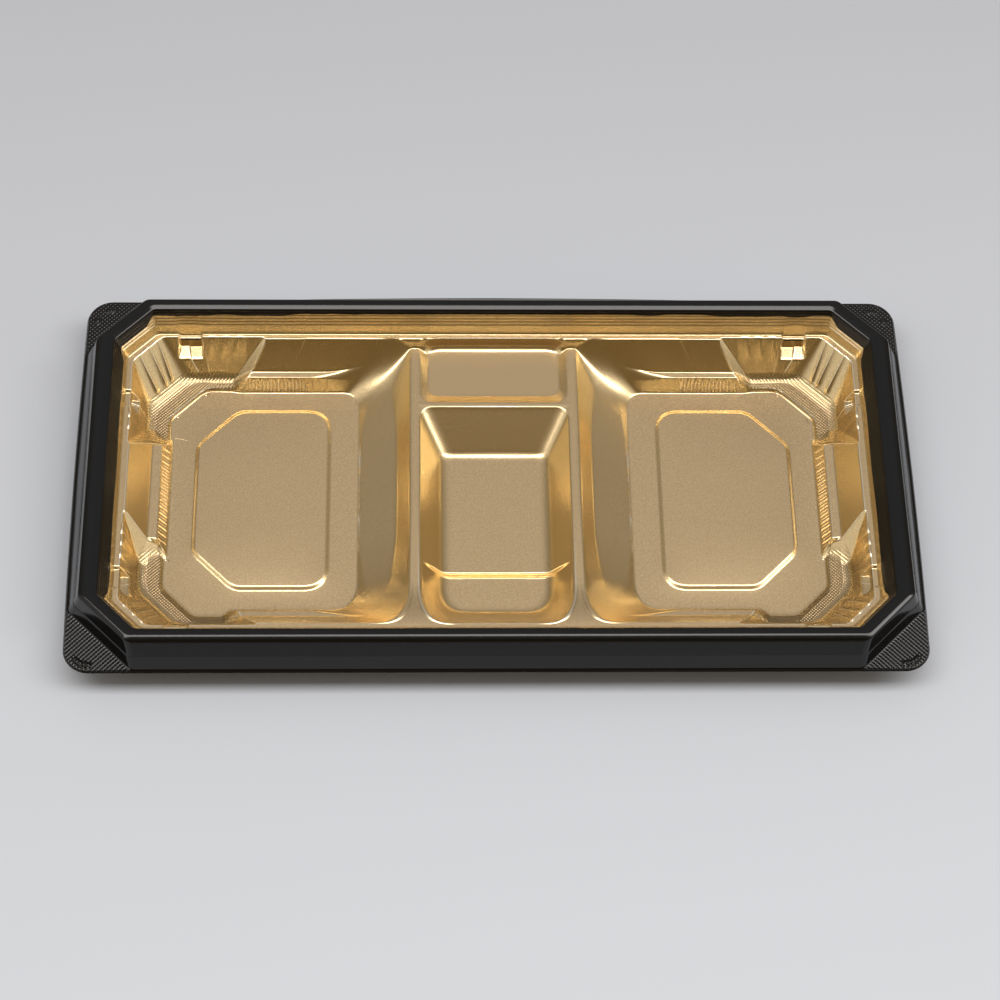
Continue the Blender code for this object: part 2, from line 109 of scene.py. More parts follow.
# Outer compartments. Three values in a row are for the wall's foot, the step's edge and the floor's
PANEL_RUNS_LONG = (7.0, 2.1, 2.7)
PANEL_RUNS_SIDE = (6.3, 2.8, 3.0)
PANEL_HALF_Y = 12.0
POCKET_LENGTH = 41.5
PANEL_CREASE = 0.6
POCKET_OUT_LONG = 0.4
POCKET_OUT_SIDE = 0.5
PANEL_IN_LONG = 0.3
SHELF_END_RUN = 0.9
SHELF_END_DROP = 1.5
SHELF_END_BEYOND = 20.0
POCKET_CUT_MORE = 0.5
POCKET_TURNS = (3.5, 3.2, 2.0)
END_TRIMS = (0.6, 0.28)
CREASE_TRIMS = (0.4, 0.28)
CORNER_SHARES = (0.46, 0.78)
CORNER_REACH = 0.38
CORNER_SWELL = 1.6
PANEL_END_RUNS_X = (5.0, 6.3, 8.8)
PANEL_END_RUNS_Y = (5.4, 5.8, 8.8)
CREASE_RUNS_X = (5.7, 5.0, 2.9)
CREASE_RUNS_Y = (7.6, 5.0, 1.8)
POCKET_RUNS_SIDE = (4.1, 10.3, 11.3)
POCKET_RUNS_REAR = (7.6, 10.7, 11.3)
POCKET_RUNS_FRONT = (5.8, 7.0, 10.1)
POCKET_CUTS_REAR = (11.7, 11.6, 10.6)
POCKET_CUTS_FRONT = (11.7, 11.0, 9.8)
INNER_RUNS = (4.1, 15.6, 16.5)
INNER_TURNS_REAR = ((14.0, 11.0), (10.0, 10.0), (5.6, 9.0))
INNER_TURNS_FRONT = ((12.0, 14.0), (8.5, 11.0), (8.0, 10.0))

# Raised plateau on each outer floor
PLATEAU_MARGIN_SIDE = 7.0
PLATEAU_MARGIN_INNER = 8.3
PLATEAU_MARGIN_LONG = 6.5
PLATEAU_CUT = 13.3
PLATEAU_CUT_ROUND = 7.8
PLATEAU_RADIUS = 8.5
PLATEAU_SLOPE = 1.9

# Middle compartments
SMALL_LENGTH = 22.3
SMALL_WALL_RUN_X = 2.7
SMALL_WALL_RUN_FRONT = 3.3
SMALL_REAR_KEY_RUN = 0.5
SMALL_REAR_EASE = 3.0
SMALL_FLOOR_RADIUS = 4.0
MOUTH_RADIUS = 4.2
MIDDLE_WALL_RUN_X = 6.9
MIDDLE_WALL_RUN_REAR = 12.4
MIDDLE_WALL_RUN_FRONT = 10.8
MIDDLE_FRONT_LENGTH = 12.1
MIDDLE_STEP_RUN = 1.0
MIDDLE_REAR_RADIUS = 4.0
MIDDLE_FRONT_RADIUS = 8.0

# Sheets as they are dressed: the film over the black, and the black under the compartments
FILM_RISE = 0.2
FILM_THICK = 0.13
BLACK_THICK = 0.4
UNDER_DROP = 0.27
UNDER_THICK = 0.17

# Reach of the eased bends, and the flat strips by which neighbouring sheets meet
MOUTH_EASE = 0.45
DIVIDER_EASE_MORE = 0.45
FOOT_EASE = 0.55
BENCH_EASE_MORE = 1.65
STEP_EASE = 0.35
BAND_FOOT_EASE = 1.2
SEAM_STRIP = 0.55
MOUTH_STRIP = 0.4
DIVIDER_STRIP = 1.1
FLOOR_STRIP = 1.4
CREASE_EASE = 0.5
SMALL_FOOT_EASE = 0.6
MIDDLE_MOUTH_EASE = 0.8
MIDDLE_FOOT_EASE = 1.8
MIDDLE_SIDE_EASE = 3.4
MIDDLE_STRIP = 7.5
SMALL_STRIP = 6.5
EASE_ROWS = 4
MIDDLE_EASE_ROWS = 9
EASE_LIMIT = 0.45
SEAM_CUT_LESS = 0.2
SKIRT_UP_SHARE = 0.02
RIM_EASES = (0.4, 0.3, 0.9, 0.4)
FLANGE_EASES = (0.3, 0.45, 0.15, 0.15)
SMALL_RADIUS_SHARE = 0.55
MIDDLE_RADIUS_SHARE = 0.5

# Spans: where something starts, over how much it fades in, where it ends, and over how much it fades
# out. Depths count down a wall: 1 is its mouth, 2 its foot, 3 the step's edge and 4 the floor's edge.
# Places count round an outline by its corners.
GROOVE_SPAN = (0.02, 0.04, 0.7, 0.05)
UPPER_SPAN = (0.92, 0.08, 2.0, 0.1)
LOWER_SPAN = (3.0, 0.08, 4.0, 0.15)
BEAD_SPAN = (1.0, 0.1, 4.0, 0.2)
POCKET_SPANS = ((1.5, 0.5, 6.0, 0.5), (7.5, 0.5, 12.0, 0.5))
KNURL_DEPTHS = (2.0, 3.95, 0.1)
BULGE_START = (0.94, 0.06)
SAME_DEPTH = 0.01

# The walls beyond these distances from the middle are the long ones, or the short ones
LONG_WALL_Y = 41.0
LOWER_LONG_Y = 30.0
SIDE_WALL_X = 105.0
LEDGE_MARGIN = 1.0

# The film's edge, as shares of the way down the band. A wave is its height, its turn per millimetre
# and its start
FILM_EDGE_LONG = 0.2
FILM_EDGE_CORNER = 0.45
FILM_EDGE_SIDE = 0.3
FILM_EDGE_END = 0.05
FILM_WAVE = (0.03, 0.21, 0.8)
FILM_WAVE_SWELL = (1.0, 0.047, 2.0)
FILM_RIPPLE = (0.012, 0.53, 0.0)
FILM_SWAY = (0.02, 0.17, 1.0)
FILM_WAVE_FROM = (30.0, 20.0)
FILM_END_FROM = (55.0, 25.0)
FILM_CORNER_FADE = 3.0
FILM_SIDE_MORE = 1.0
FILM_SIDE_FADE = 4.0

# Fine relief
GROOVE_DEPTH = 0.16
GROOVE_PITCH = 0.1145
RIB_PITCH = 1.17
RIB_DEPTH = 0.16
RIB_SECOND = 0.07
RIB_REAR_FROM = 52.6
RIB_REAR_MORE = 7.5
RIB_REAR_FADE = 0.8
RIB_SIDE_MORE = 7.0
RIM_TURN_SHARE = 0.06
TAB_FROM = 176.2
TAB_FADE = 0.6
FLAT_FADE = 0.05
BUTTON_RISE = 0.5
CRESCENT = (5.6, 1.3, 36.0, 98.0)
REAR_ARC = (3.9, 0.8, 55.0, 105.0)
ARC_FADE = 9.0
RING_PLACE = (127.0, 58.6)
RING_RADIUS = 0.6
RING_HALF = 0.5
ROLL_HEIGHT = 0.45
ROLL_PLACES = (13.3, 1.2, 2.3)
ROLL_REACH = 0.42
DIVIDER_CROWN = 0.18
CROSS_CROWN = 0.1

# Stacking nibs: a notch in the ledge, an upright back and a shelf, in the rear and the side walls
NIB_LONG = (93.3, 100.6)
NIB_SIDE_REAR = (26.6, 31.5)
NIB_SIDE_FRONT = (32.0, 39.0)
NIB_EDGE = 0.55
NIB_DIP = 0.9
NIB_MARGIN = 0.5
NIB_GROWN = 0.7
NIB_SHARES = (0.0, 0.03, 0.48, 0.585, 0.61)
NIB_PUSH_LONG = (0.2, 0.6, 3.55, 0.15, 0.0)
NIB_PUSH_SIDE = (0.2, 0.45, 2.1, 0.1, 0.0)

# Grooves between soft bulges under the ledge, by place along the wall
BULGE_HEIGHT = 0.45
BULGE_END = 0.75
BULGES_LONG = (79.0, 83.2, 87.7, 92.2)
BULGES_SIDE_REAR = (17.3, 21.4, 25.6)
BULGES_SIDE_FRONT = (16.4, 20.5, 24.6, 28.7)

# Ridges of the chamfered corners' flutes, as shares along the chamfer at the mouth and the foot
FLUTE_TOPS = (0.07, 0.43, 0.84)
FLUTE_FEET = (0.19, 0.43, 0.825)
FLUTE_RISE = (0.15, 0.45)
FLUTE_PLACES = (3.5, 9.5)
FLUTE_MARGIN = 0.2
FLUTE_END = 0.16
BEAD_HEIGHT = 0.16
BEAD_HALF = 0.45
BEAD_CORNERS = (1, 6, 7, 12)
CORNER_MIDDLE = 0.25

# Points inside a level or sloped region: their spacing and their least distance from its edges
REAR_RAMP_POINTS = (0.5, 0.3)
FRONT_RAMP_POINTS = (0.8, 0.4)
DIVIDER_POINTS = (0.5, 0.2)
CROSS_POINTS = (0.45, 0.2)
STEP_POINTS = (0.3, 0.2)
STEP_POINTS_MORE = 0.5
REAR_RAMP_X = 36.0
FRONT_RAMP_X = 38.0
LATTICE_ROW = 0.87
BATCH = 2000

# Meshes
SHARP_ANGLE = 62.0
WELD = 0.002
# Painted highlight: bends, as turn of the normal per millimetre, over which the pale colour fades in on the
# gold
HIGHLIGHT_BEND = (0.7, 3.0)
TINY = 1e-12
SMALL = 1e-6

CUT_SHRINK = 2 - math.sqrt(2)
RIM_INNER_X = RIM_HALF_X - EDGE_ROUND - RIM_FACE_SIDE
RIM_INNER_Y = RIM_HALF_Y - EDGE_ROUND - RIM_FACE_LONG
RIM_INNER_CUT = RIM_CUT - RIM_INNER_CUT_LESS
LEDGE_OUTER_X = RIM_INNER_X - BAND_RUN_SIDE
LEDGE_OUTER_Y = RIM_INNER_Y - BAND_RUN_LONG
LEDGE_OUTER_CUT = RIM_INNER_CUT - LEDGE_OUTER_CUT_LESS
LEDGE_X = LEDGE_OUTER_X - LEDGE_WIDTH_SIDE
LEDGE_Y = LEDGE_OUTER_Y - LEDGE_WIDTH_LONG
LEDGE_CUT = LEDGE_OUTER_CUT - LEDGE_INNER_CUT_LESS
DIVIDER_OUTER_X = DIVIDER_INNER_X + DIVIDER_WIDTH
DIVIDER_REAR_Y = LEDGE_Y - REAR_END_LENGTH
DIVIDER_FRONT_Y = FRONT_END_LENGTH - LEDGE_Y
CROSS_REAR_Y = LEDGE_Y - SMALL_LENGTH
CROSS_FRONT_Y = CROSS_REAR_Y - CROSS_WIDTH
PANEL_END_X = LEDGE_X - POCKET_LENGTH
MIDDLE_FRONT_Y = MIDDLE_WALL_RUN_FRONT - LEDGE_Y
MIDDLE_STEP_FOOT_Y = MIDDLE_FRONT_Y + MIDDLE_FRONT_LENGTH
MIDDLE_STEP_Y = MIDDLE_STEP_FOOT_Y + MIDDLE_STEP_RUN

# Beyond this, a long side has no divider and the ledge is level
RAMP_REACH_X = 60.0

# Materials
# Painted shade: the gold's colour by the height of its world normal, so steep and level film get their own
# lit and shaded tones
GOLD_PAINTED_SHADE_BY_SLOPE = (
    (0.72, (0.77, 0.615, 0.35)),
    (0.99, (0.80, 0.60, 0.345)),
)
# Painted highlight: the pale colour mixed into the gold on sharp outward bends
GOLD_PAINTED_HIGHLIGHT = (0.96, 0.90, 0.76)
GOLD_ROUGHNESS = 0.27
HIGHLIGHT_PAINT_SHARE = 0.85
GRAIN_SCALE = 2600.0
GRAIN_DEPTH = 0.03
GRAIN_SHADE = 0.88
GRAIN_RANGE = (0.3, 0.7)
GRAIN_DETAIL = 2.0
# Painted shade: how much darker the gold's colour is made in the knurled pockets
KNURL_SHADE = 0.45
BLACK = (0.0018, 0.0018, 0.002)
BLACK_ROUGHNESS = 0.11
BLACK_ROUGHNESS_SWAY = 0.06
BLACK_SPECULAR = 0.45
BLACK_GRAIN_SCALE = 900.0
BLACK_GRAIN_DEPTH = 0.004
KNURL_PITCH = 0.78
KNURL_SHARE = 0.72
KNURL_DEPTH = 0.09
TAB_KNURL_PITCH = 1.05
TAB_KNURL_DEPTH = 0.1

# Camera, floor and lights
FLOOR_SIZE = 6.0
FLOOR_FADE = 2.5
FLOOR_ROUGHNESS = 0.85
FLOOR_REAR = (0.49, 0.515, 0.57)
FLOOR_FRONT = (0.62, 0.66, 0.725)
BAR_PLACE = (0.4, -0.16, 1.5)
BAR_SIZE = (3.0, 0.48)
BAR_RADIANCE = 5.8
BAR_COLOUR = (1.0, 0.965, 0.92)
SKY_AXIS = (0.0, 0.5, 0.87)
SKY = (
    (0.0, (0.15, 0.10, 0.04)),
    (0.26, (0.17, 0.12, 0.06)),
    (0.5, (0.23, 0.19, 0.13)),
    (0.77, (0.31, 0.295, 0.275)),
    (1.0, (0.47, 0.455, 0.45)),
)
SIDE_AXIS = (0.84, -0.25, 0.48)
SIDES = (
    (0.84, (0.0, 0.0, 0.0)),
    (0.96, (0.62, 0.62, 0.62)),
)
CAMERA_PLACE = (-24.23, -412.23, 712.21)
CAMERA_PITCH = 59.891
CAMERA_YAW = 3.604
CAMERA_ROLL = 3.089
CAMERA_LENS = 93.75

# Points of an eased corner, and their shares along the side after it
Counts = namedtuple("Counts", "corner shares")


def unit(v):
    """A vector, or each of several, at length 1."""
    return v / np.linalg.norm(v, axis=-1, keepdims=True)


def smooth(t):
    """A smooth step from 0 to 1."""
    t = np.clip(t, 0.0, 1.0)
    return t * t * (3 - 2 * t)


def bump(distance, reach):
    """A smooth bump of height 1 that ends at reach."""
    return smooth(1 - np.abs(distance) / reach)


def hump(t):
    """A parabola of height 1 between -1 and 1, and 0 outside."""
    return np.clip(1 - t ** 2, 0, 1)


def window(value, start, fade_in, end, fade_out):
    """1 inside a span and 0 outside, with its soft ends within it."""
    return smooth((value - start) / fade_in) * smooth((end - value) / fade_out)


def wave(value, height, turn, start):
    """A sine wave along a value."""
    return height * np.sin(value * turn + start)


def cut_reach(radius):
    """How far a rounded end of a 45 degree chamfer reaches along each side."""
    return radius * math.tan(math.radians(22.5))


def at_height(flat, height):
    """Flat points lifted to a height."""
    return np.column_stack([flat, np.full(len(flat), height)])


def bezier(start, key, end, t):
    """A point of the parabola from start to end that heads for key."""
    return (1 - t) ** 2 * start + 2 * t * (1 - t) * key + t ** 2 * end


def arc(centre, radii, start, end, steps):
    """Points on an ellipse's arc, ends included, angles in degrees."""
    angles = np.radians(np.linspace(start, end, steps + 1))
    return np.stack([centre[0] + radii[0] * np.cos(angles), centre[1] + radii[1] * np.sin(angles)], 1)


def resampled(points, count):
    """A line of points spaced evenly, as many as count."""
    steps = np.linalg.norm(np.diff(points, axis=0), axis=1)
    along = np.concatenate([[0.0], np.cumsum(steps)])
    places = np.linspace(0, along[-1], count)
    return np.stack([np.interp(places, along, points[:, i]) for i in range(points.shape[1])], 1)


def crowded(*spans):
    """Shares between 0 and 1, spaced evenly within each span, given as its end and its count."""
    start = 0.0
    shares = []
    for end, count in spans:
        steps = count + (end == 1.0)
        shares.append(start + (end - start) * np.arange(1, count + 1) / steps)
        start = end
    return np.concatenate(shares)


def even(count):
    """Evenly spaced shares between 0 and 1, ends left out."""
    return crowded((1.0, count))


def between(value, low, high, edge):
    """1 from low to high and 0 outside, with soft edges."""
    return smooth((value - low) / edge + 0.5) * smooth((high - value) / edge + 0.5)


def eased_ring(keys, trims, counts):
    """A closed outline with eased corners, and each point's place along the keys.

    Place i to i + 0.5 is the eased corner i, and i + 0.5 to i + 1 is the side after it.
    """
    keys = np.array(keys, float)
    corners = []
    for i, key in enumerate(keys):
        start = key + unit(keys[i - 1] - key) * trims[i][0]
        end = key + unit(keys[(i + 1) % len(keys)] - key) * trims[i][1]
        t = np.linspace(0, 1, counts[i].corner)
        corners.append(bezier(start, key, end, t[:, None]))
    points = []
    places = []
    for i, corner in enumerate(corners):
        step = corners[(i + 1) % len(corners)][0] - corner[-1]
        points += [corner, corner[-1] + step * counts[i].shares[:, None]]
        places += [i + 0.5 * np.linspace(0, 1, len(corner)), i + 0.5 + 0.5 * counts[i].shares]
    return np.concatenate(points), np.concatenate(places)


def eased_profile(levels, eases, shares, ease_rows=EASE_ROWS):
    """Rows from the first level to the last with eased bends at those between.

    Also gives each row's depth: 1.5 is half way from level 1 to level 2.
    """
    starts = {0: levels[0]}
    ends = {len(levels) - 1: levels[-1]}
    for k in range(1, len(levels) - 1):
        for neighbour, found in ((k - 1, ends), (k + 1, starts)):
            step = levels[neighbour] - levels[k]
            reach = np.minimum(eases[k - 1], EASE_LIMIT * np.linalg.norm(step, axis=1, keepdims=True))
            found[k] = levels[k] + unit(step) * reach
    rows = [levels[0]]
    depths = [0.0]
    for k in range(len(levels) - 1):
        for share in shares[k]:
            rows.append(starts[k] + (ends[k + 1] - starts[k]) * share)
            depths.append(k + share)
        if k < len(levels) - 2:
            for t in np.linspace(0, 1, ease_rows):
                rows.append(bezier(ends[k + 1], levels[k + 1], starts[k + 1], t))
                depths.append(k + 1.0)
    rows.append(levels[-1])
    depths.append(len(levels) - 1.0)
    return np.array(rows), np.array(depths)


def embossed(grid, relief):
    """A closed grid whose points are moved along the sheet's upward normals."""
    down = np.gradient(grid, axis=0)
    along = np.roll(grid, -1, axis=1) - np.roll(grid, 1, axis=1)
    normals = unit(np.cross(down, along) + TINY)
    flip = -1.0 if normals[..., 2].sum() < 0 else 1.0
    return grid + normals * flip * relief[..., None]


def grid_faces(rows, columns):
    """Quads of a closed grid of points."""
    i, j = np.meshgrid(np.arange(rows - 1), np.arange(columns), indexing="ij")
    k = (j + 1) % columns
    quads = np.stack([i * columns + j, (i + 1) * columns + j, (i + 1) * columns + k, i * columns + k], -1)
    return quads.reshape(-1, 4)


def inside(points, outline):
    """Which points lie inside a closed outline."""
    x, y = points[:, 0:1], points[:, 1:2]
    a = outline
    b = np.roll(outline, -1, axis=0)
    crossing = (a[:, 1] > y) != (b[:, 1] > y)
    rise = np.where(b[:, 1] == a[:, 1], TINY, b[:, 1] - a[:, 1])
    at = a[:, 0] + (y - a[:, 1]) / rise * (b[:, 0] - a[:, 0])
    return (crossing & (x < at)).sum(axis=1) % 2 == 1


def clear_of(points, outlines, gap):
    """Which points are at least gap from all the outlines' points."""
    keep = np.ones(len(points), bool)
    for outline in outlines:
        for start in range(0, len(points), BATCH):
            part = points[start:start + BATCH]
            near = np.linalg.norm(part[:, None] - outline[None], axis=2).min(axis=1)
            keep[start:start + BATCH] &= near > gap
    return keep


def lattice(low, high, step):
    """Points of a staggered lattice over a rectangle."""
    rows = np.arange(low[1], high[1], step * LATTICE_ROW)
    points = []
    for i, y in enumerate(rows):
        x = np.arange(low[0] + (i % 2) * step / 2, high[0], step)
        points.append(np.stack([x, np.full(len(x), y)], 1))
    return np.concatenate(points)


def new_object(name, data):
    """A new object in the scene."""
    made = bpy.data.objects.new(name, data)
    bpy.context.scene.collection.objects.link(made)
    return made


class Sheet:
    """A surface that grows piece by piece, in millimetres."""

    def __init__(self):
        self.points = []
        self.marks = []
        self.faces = []
        self.count = 0

    def add(self, points, faces, marks=None):
        """Adds points with their faces, and marks from 0 to 1 where the surface is knurled."""
        self.points.append(points)
        self.marks.append(np.zeros(len(points)) if marks is None else marks.reshape(-1))
        self.faces += [tuple(int(i) + self.count for i in face) for face in faces]
        self.count += len(points)

    def add_grid(self, grid, marks=None):
        """Adds a closed grid of points."""
        self.add(grid.reshape(-1, 3), grid_faces(*grid.shape[:2]), marks)

    def add_fill(self, outline, holes, height, lattices=()):
        """Adds the region inside an outline and outside the holes, at a height by place."""
        loops = [outline[:, :2]] + [hole[:, :2] for hole in holes]
        extra = [self.kept(points, loops, gap) for points, gap in lattices]
        flat = np.concatenate(loops + extra)
        edges = []
        start = 0
        for loop in loops:
            edges += [(start + i, start + (i + 1) % len(loop)) for i in range(len(loop))]
            start += len(loop)
        found = delaunay_2d_cdt([Vector(p) for p in flat], edges, [], 1, SMALL)
        places = np.array([tuple(v) for v in found[0]])
        triangles = np.array(found[2])
        middles = places[triangles].mean(axis=1)
        keep = inside(middles, loops[0])
        for hole in loops[1:]:
            keep &= ~inside(middles, hole)
        z = height(places[:, 0], places[:, 1])
        self.add(np.column_stack([places, z]), triangles[keep])

    @staticmethod
    def kept(points, loops, gap):
        """The lattice points that lie in the region, clear of its edges."""
        points = points[inside(points, loops[0])]
        for hole in loops[1:]:
            points = points[~inside(points, hole)]
        return points[clear_of(points, loops, gap)]

    def mirrored(self):
        """The same sheet on the other side of the tray."""
        other = Sheet()
        for points in self.points:
            other.points.append(points * (-1.0, 1.0, 1.0))
        other.marks = self.marks
        other.faces = [face[::-1] for face in self.faces]
        other.count = self.count
        return other

    def made(self, name, thickness, material):
        """The object, with its thickness under the sheet."""
        mesh = bpy.data.meshes.new(name)
        mesh.from_pydata(np.concatenate(self.points) * MM, [], self.faces)
        marks = mesh.attributes.new("knurl", "FLOAT", "POINT")
        marks.data.foreach_set("value", np.concatenate(self.marks).astype(np.float32))
        weld(mesh)
        # Notes the bends that carry the painted highlight
        mark_highlight_bends(mesh)
        sheet = new_object(name + "_sheet", mesh)
        solid = sheet.modifiers.new("Thickness", "SOLIDIFY")
        solid.thickness = thickness * MM
        solid.offset = -1.0
        solid.use_quality_normals = True
        evaluated = sheet.evaluated_get(bpy.context.evaluated_depsgraph_get())
        final = bpy.data.meshes.new_from_object(evaluated)
        bpy.data.objects.remove(sheet)
        final.name = name
        final.shade_smooth()
        final.set_sharp_from_angle(angle=math.radians(SHARP_ANGLE))
        final.materials.clear()
        final.materials.append(material)
        return new_object(name, final)


def one_grid(grid, marks=None):
    """A sheet of one closed grid."""
    sheet = Sheet()
    sheet.add_grid(grid, marks)
    return sheet


def weld(mesh):
    """Joins a sheet's parts where they meet and turns its faces upward."""
    bm = bmesh.new()
    bm.from_mesh(mesh)
    bmesh.ops.remove_doubles(bm, verts=bm.verts, dist=WELD * MM)
    bmesh.ops.recalc_face_normals(bm, faces=bm.faces)
    if sum(face.normal.z * face.calc_area() for face in bm.faces) < 0:
        bmesh.ops.reverse_faces(bm, faces=bm.faces)
    bm.to_mesh(mesh)
    bm.free()


def mark_highlight_bends(mesh):
    """Notes at each point how sharply the sheet bends outward there, from 0 to 1: the share of painted
    highlight on the gold.
    """
    count = len(mesh.vertices)
    places = np.empty(count * 3, np.float32)
    mesh.vertices.foreach_get("co", places)
    normals = np.empty(count * 3, np.float32)
    mesh.vertex_normals.foreach_get("vector", normals)
    places = places.reshape(-1, 3) / MM
    normals = normals.reshape(-1, 3)
    pairs = np.empty(len(mesh.edges) * 2, np.int32)
    mesh.edges.foreach_get("vertices", pairs)
    a, b = pairs.reshape(-1, 2).T
    step = places[b] - places[a]
    bend = ((normals[b] - normals[a]) * step).sum(axis=1) / np.maximum((step ** 2).sum(axis=1), SMALL)
    sharpest = np.zeros(count)
    np.maximum.at(sharpest, a, bend)
    np.maximum.at(sharpest, b, bend)
    # The attribute edge holds the share of painted highlight
    edge = mesh.attributes.new("edge", "FLOAT", "POINT")
    share = smooth((sharpest - HIGHLIGHT_BEND[0]) / (HIGHLIGHT_BEND[1] - HIGHLIGHT_BEND[0]))
    edge.data.foreach_set("value", share.astype(np.float32))


# Rings round the whole tray
CORNER_POINTS = 44
CORNER_TURN_STEPS = 6
BOW_END = 6
LONG_SHARES = np.concatenate([[0.0], crowded((0.8, 60), (1.0, 58))])
SIDE_SHARES = np.concatenate([crowded((0.55, 56), (1.0, 16)), [1.0]])


def cut_corner(half_x, half_y, cut, radius):
    """A chamfered corner with rounded ends, in +X +Y, spaced evenly."""
    reach = cut_reach(radius)
    top = arc((half_x - cut - reach, half_y - radius), (radius, radius), 90, 45, CORNER_TURN_STEPS)
    side = arc((half_x - radius, half_y - cut - reach), (radius, radius), 45, 0, CORNER_TURN_STEPS)
    return resampled(np.concatenate([top, side]), CORNER_POINTS)


def round_corner(half_x, half_y, radius):
    """A quarter circle, in +X +Y."""
    return arc((half_x - radius, half_y - radius), (radius, radius), 90, 0, CORNER_POINTS - 1)


def closed_ring(corner, half_x, half_y, bow=0.0):
    """A ring round the tray from its corner in +X +Y, whose short sides bow outward."""
    top = (0.0, half_y) + (corner[0] - (0.0, half_y)) * LONG_SHARES[:, None]
    side = corner[-1] + ((half_x, 0.0) - corner[-1]) * SIDE_SHARES[:, None]
    quarter = np.concatenate([top, corner, side])
    at_end = smooth(quarter[:, 0] / half_x * BOW_END - (BOW_END - 1))
    quarter[:, 0] += bow * (1 - (quarter[:, 1] / half_y) ** 2) * at_end
    front = quarter[::-1] * (1, -1)
    left = quarter * (-1, -1)
    rear = quarter[::-1] * (-1, 1)
    return np.concatenate([quarter, front[1:], left[1:], rear[1:-1]])


def ring_at(kind, half_x, half_y, cut, height, bow=0.0):
    """A closed ring at a height, cut or round at its corners."""
    if kind == "cut":
        corner = cut_corner(half_x, half_y, cut, CORNER_ROUND)
    else:
        corner = round_corner(half_x, half_y, cut)
    return at_height(closed_ring(corner, half_x, half_y, bow), height)


def bowed(ring):
    """A flange ring whose rear edge bows outward and up in its middle."""
    share = hump(ring[:, 0] / REAR_BOW_REACH) * (ring[:, 1] > 0)
    return ring + share[:, None] * (0.0, REAR_BOW_OUT, REAR_BOW_UP)


def outside_rings():
    """Rings from the flange's lip up the skirt and over the rim, then down to the ledge."""
    step = (SKIRT_X + STEP_RUN_X, SKIRT_Y + STEP_RUN_Y, STEP_CUT)
    top_cut = RIM_CUT - EDGE_ROUND * CUT_SHRINK
    flange = (FLANGE_X, FLANGE_Y, TAB_RADIUS)
    lip = (FLANGE_X + LIP_RUN, FLANGE_Y + LIP_RUN, TAB_RADIUS + LIP_RUN)
    top = ring_at("cut", RIM_HALF_X - EDGE_ROUND, RIM_HALF_Y - EDGE_ROUND, top_cut, RIM_TOP - RIM_FALL_OUT)
    inner = ring_at("cut", RIM_INNER_X, RIM_INNER_Y, RIM_INNER_CUT, RIM_TOP - RIM_FALL_IN)
    crest = top + (inner - top) * RIM_CREST_SHARE
    crest[:, 2] = RIM_TOP
    ledge = ring_at("cut", LEDGE_OUTER_X, LEDGE_OUTER_Y, LEDGE_OUTER_CUT, LEDGE_TOP)
    seam_x = LEDGE_OUTER_X - SEAM_STRIP
    seam_y = LEDGE_OUTER_Y - SEAM_STRIP
    seam = ring_at("cut", seam_x, seam_y, LEDGE_OUTER_CUT - SEAM_CUT_LESS, LEDGE_TOP)
    return {
        "lip": bowed(ring_at("round", *lip, RIM_TOP - LIP_DROP, SIDE_BOW)),
        "flange": bowed(ring_at("round", *flange, RIM_TOP - FLANGE_DROP, SIDE_BOW)),
        "slope": ring_at("cut", SLOPE_X, SLOPE_Y, SLOPE_CUT, RIM_TOP - SLOPE_DROP, SLOPE_BOW),
        "step": ring_at("cut", *step, RIM_TOP - STEP_DROP),
        "skirt": ring_at("cut", SKIRT_X, SKIRT_Y, SKIRT_CUT, RIM_TOP - SKIRT_DROP),
        "rim": ring_at("cut", RIM_HALF_X, RIM_HALF_Y, RIM_CUT, RIM_TOP - RIM_EDGE_DROP),
        "rim_top": top,
        "rim_crest": crest,
        "rim_inner": inner,
        "ledge_outer": on_ledge(ledge[:, :2]),
        "ledge_seam": on_ledge(seam[:, :2]),
    }


def grooved(grid):
    """The grooves that run round the band, as a depth for each point by its height."""
    share = (RIM_TOP - grid[..., 2]) / (RIM_TOP - LEDGE_TOP)
    groove = 0.5 - 0.5 * np.cos(2 * np.pi * share / GROOVE_PITCH)
    return -GROOVE_DEPTH * groove ** 2 * window(share, *GROOVE_SPAN)


def film_share(ring):
    """How far down the band the film starts, at each point of a ring round the tray."""
    x, y = ring[:, 0], ring[:, 1]
    away = np.abs(x)
    corner = smooth((away - (RIM_INNER_X - RIM_INNER_CUT)) / FILM_CORNER_FADE)
    side = smooth((RIM_INNER_Y - RIM_INNER_CUT + FILM_SIDE_MORE - np.abs(y)) / FILM_SIDE_FADE) * corner
    waves = wave(x, *FILM_WAVE) * wave(x, *FILM_WAVE_SWELL) + wave(x, *FILM_RIPPLE)
    high = FILM_EDGE_LONG + waves * smooth((away - FILM_WAVE_FROM[0]) / FILM_WAVE_FROM[1])
    high = high + FILM_EDGE_END * smooth((away - FILM_END_FROM[0]) / FILM_END_FROM[1])
    return high + (FILM_EDGE_CORNER - high) * corner + (FILM_EDGE_SIDE + wave(y, *FILM_SWAY)) * side


# Outer compartments
CREASE_COUNTS = Counts(6, even(5))
DENSE_CREASE_COUNTS = Counts(8, even(5))
OUTER_COUNTS = [
    Counts(24, crowded((0.35, 25), (1.0, 150))),
    CREASE_COUNTS,
    Counts(8, even(130)),
    Counts(12, even(110)),
    Counts(12, even(110)),
    DENSE_CREASE_COUNTS,
    Counts(6, even(175)),
    CREASE_COUNTS,
    Counts(8, even(110)),
    Counts(12, even(90)),
    Counts(12, even(80)),
    DENSE_CREASE_COUNTS,
    Counts(6, even(60)),
    Counts(24, even(50)),
]
WALL_SHARES = crowded((0.06, 2), (0.44, 7), (0.62, 9), (1.0, 8))
OUTER_SHARES = [(), WALL_SHARES, even(8), even(7), ()]

PLATEAU_ROWS = 9
PLATEAU_COUNTS = Counts(16, even(12))

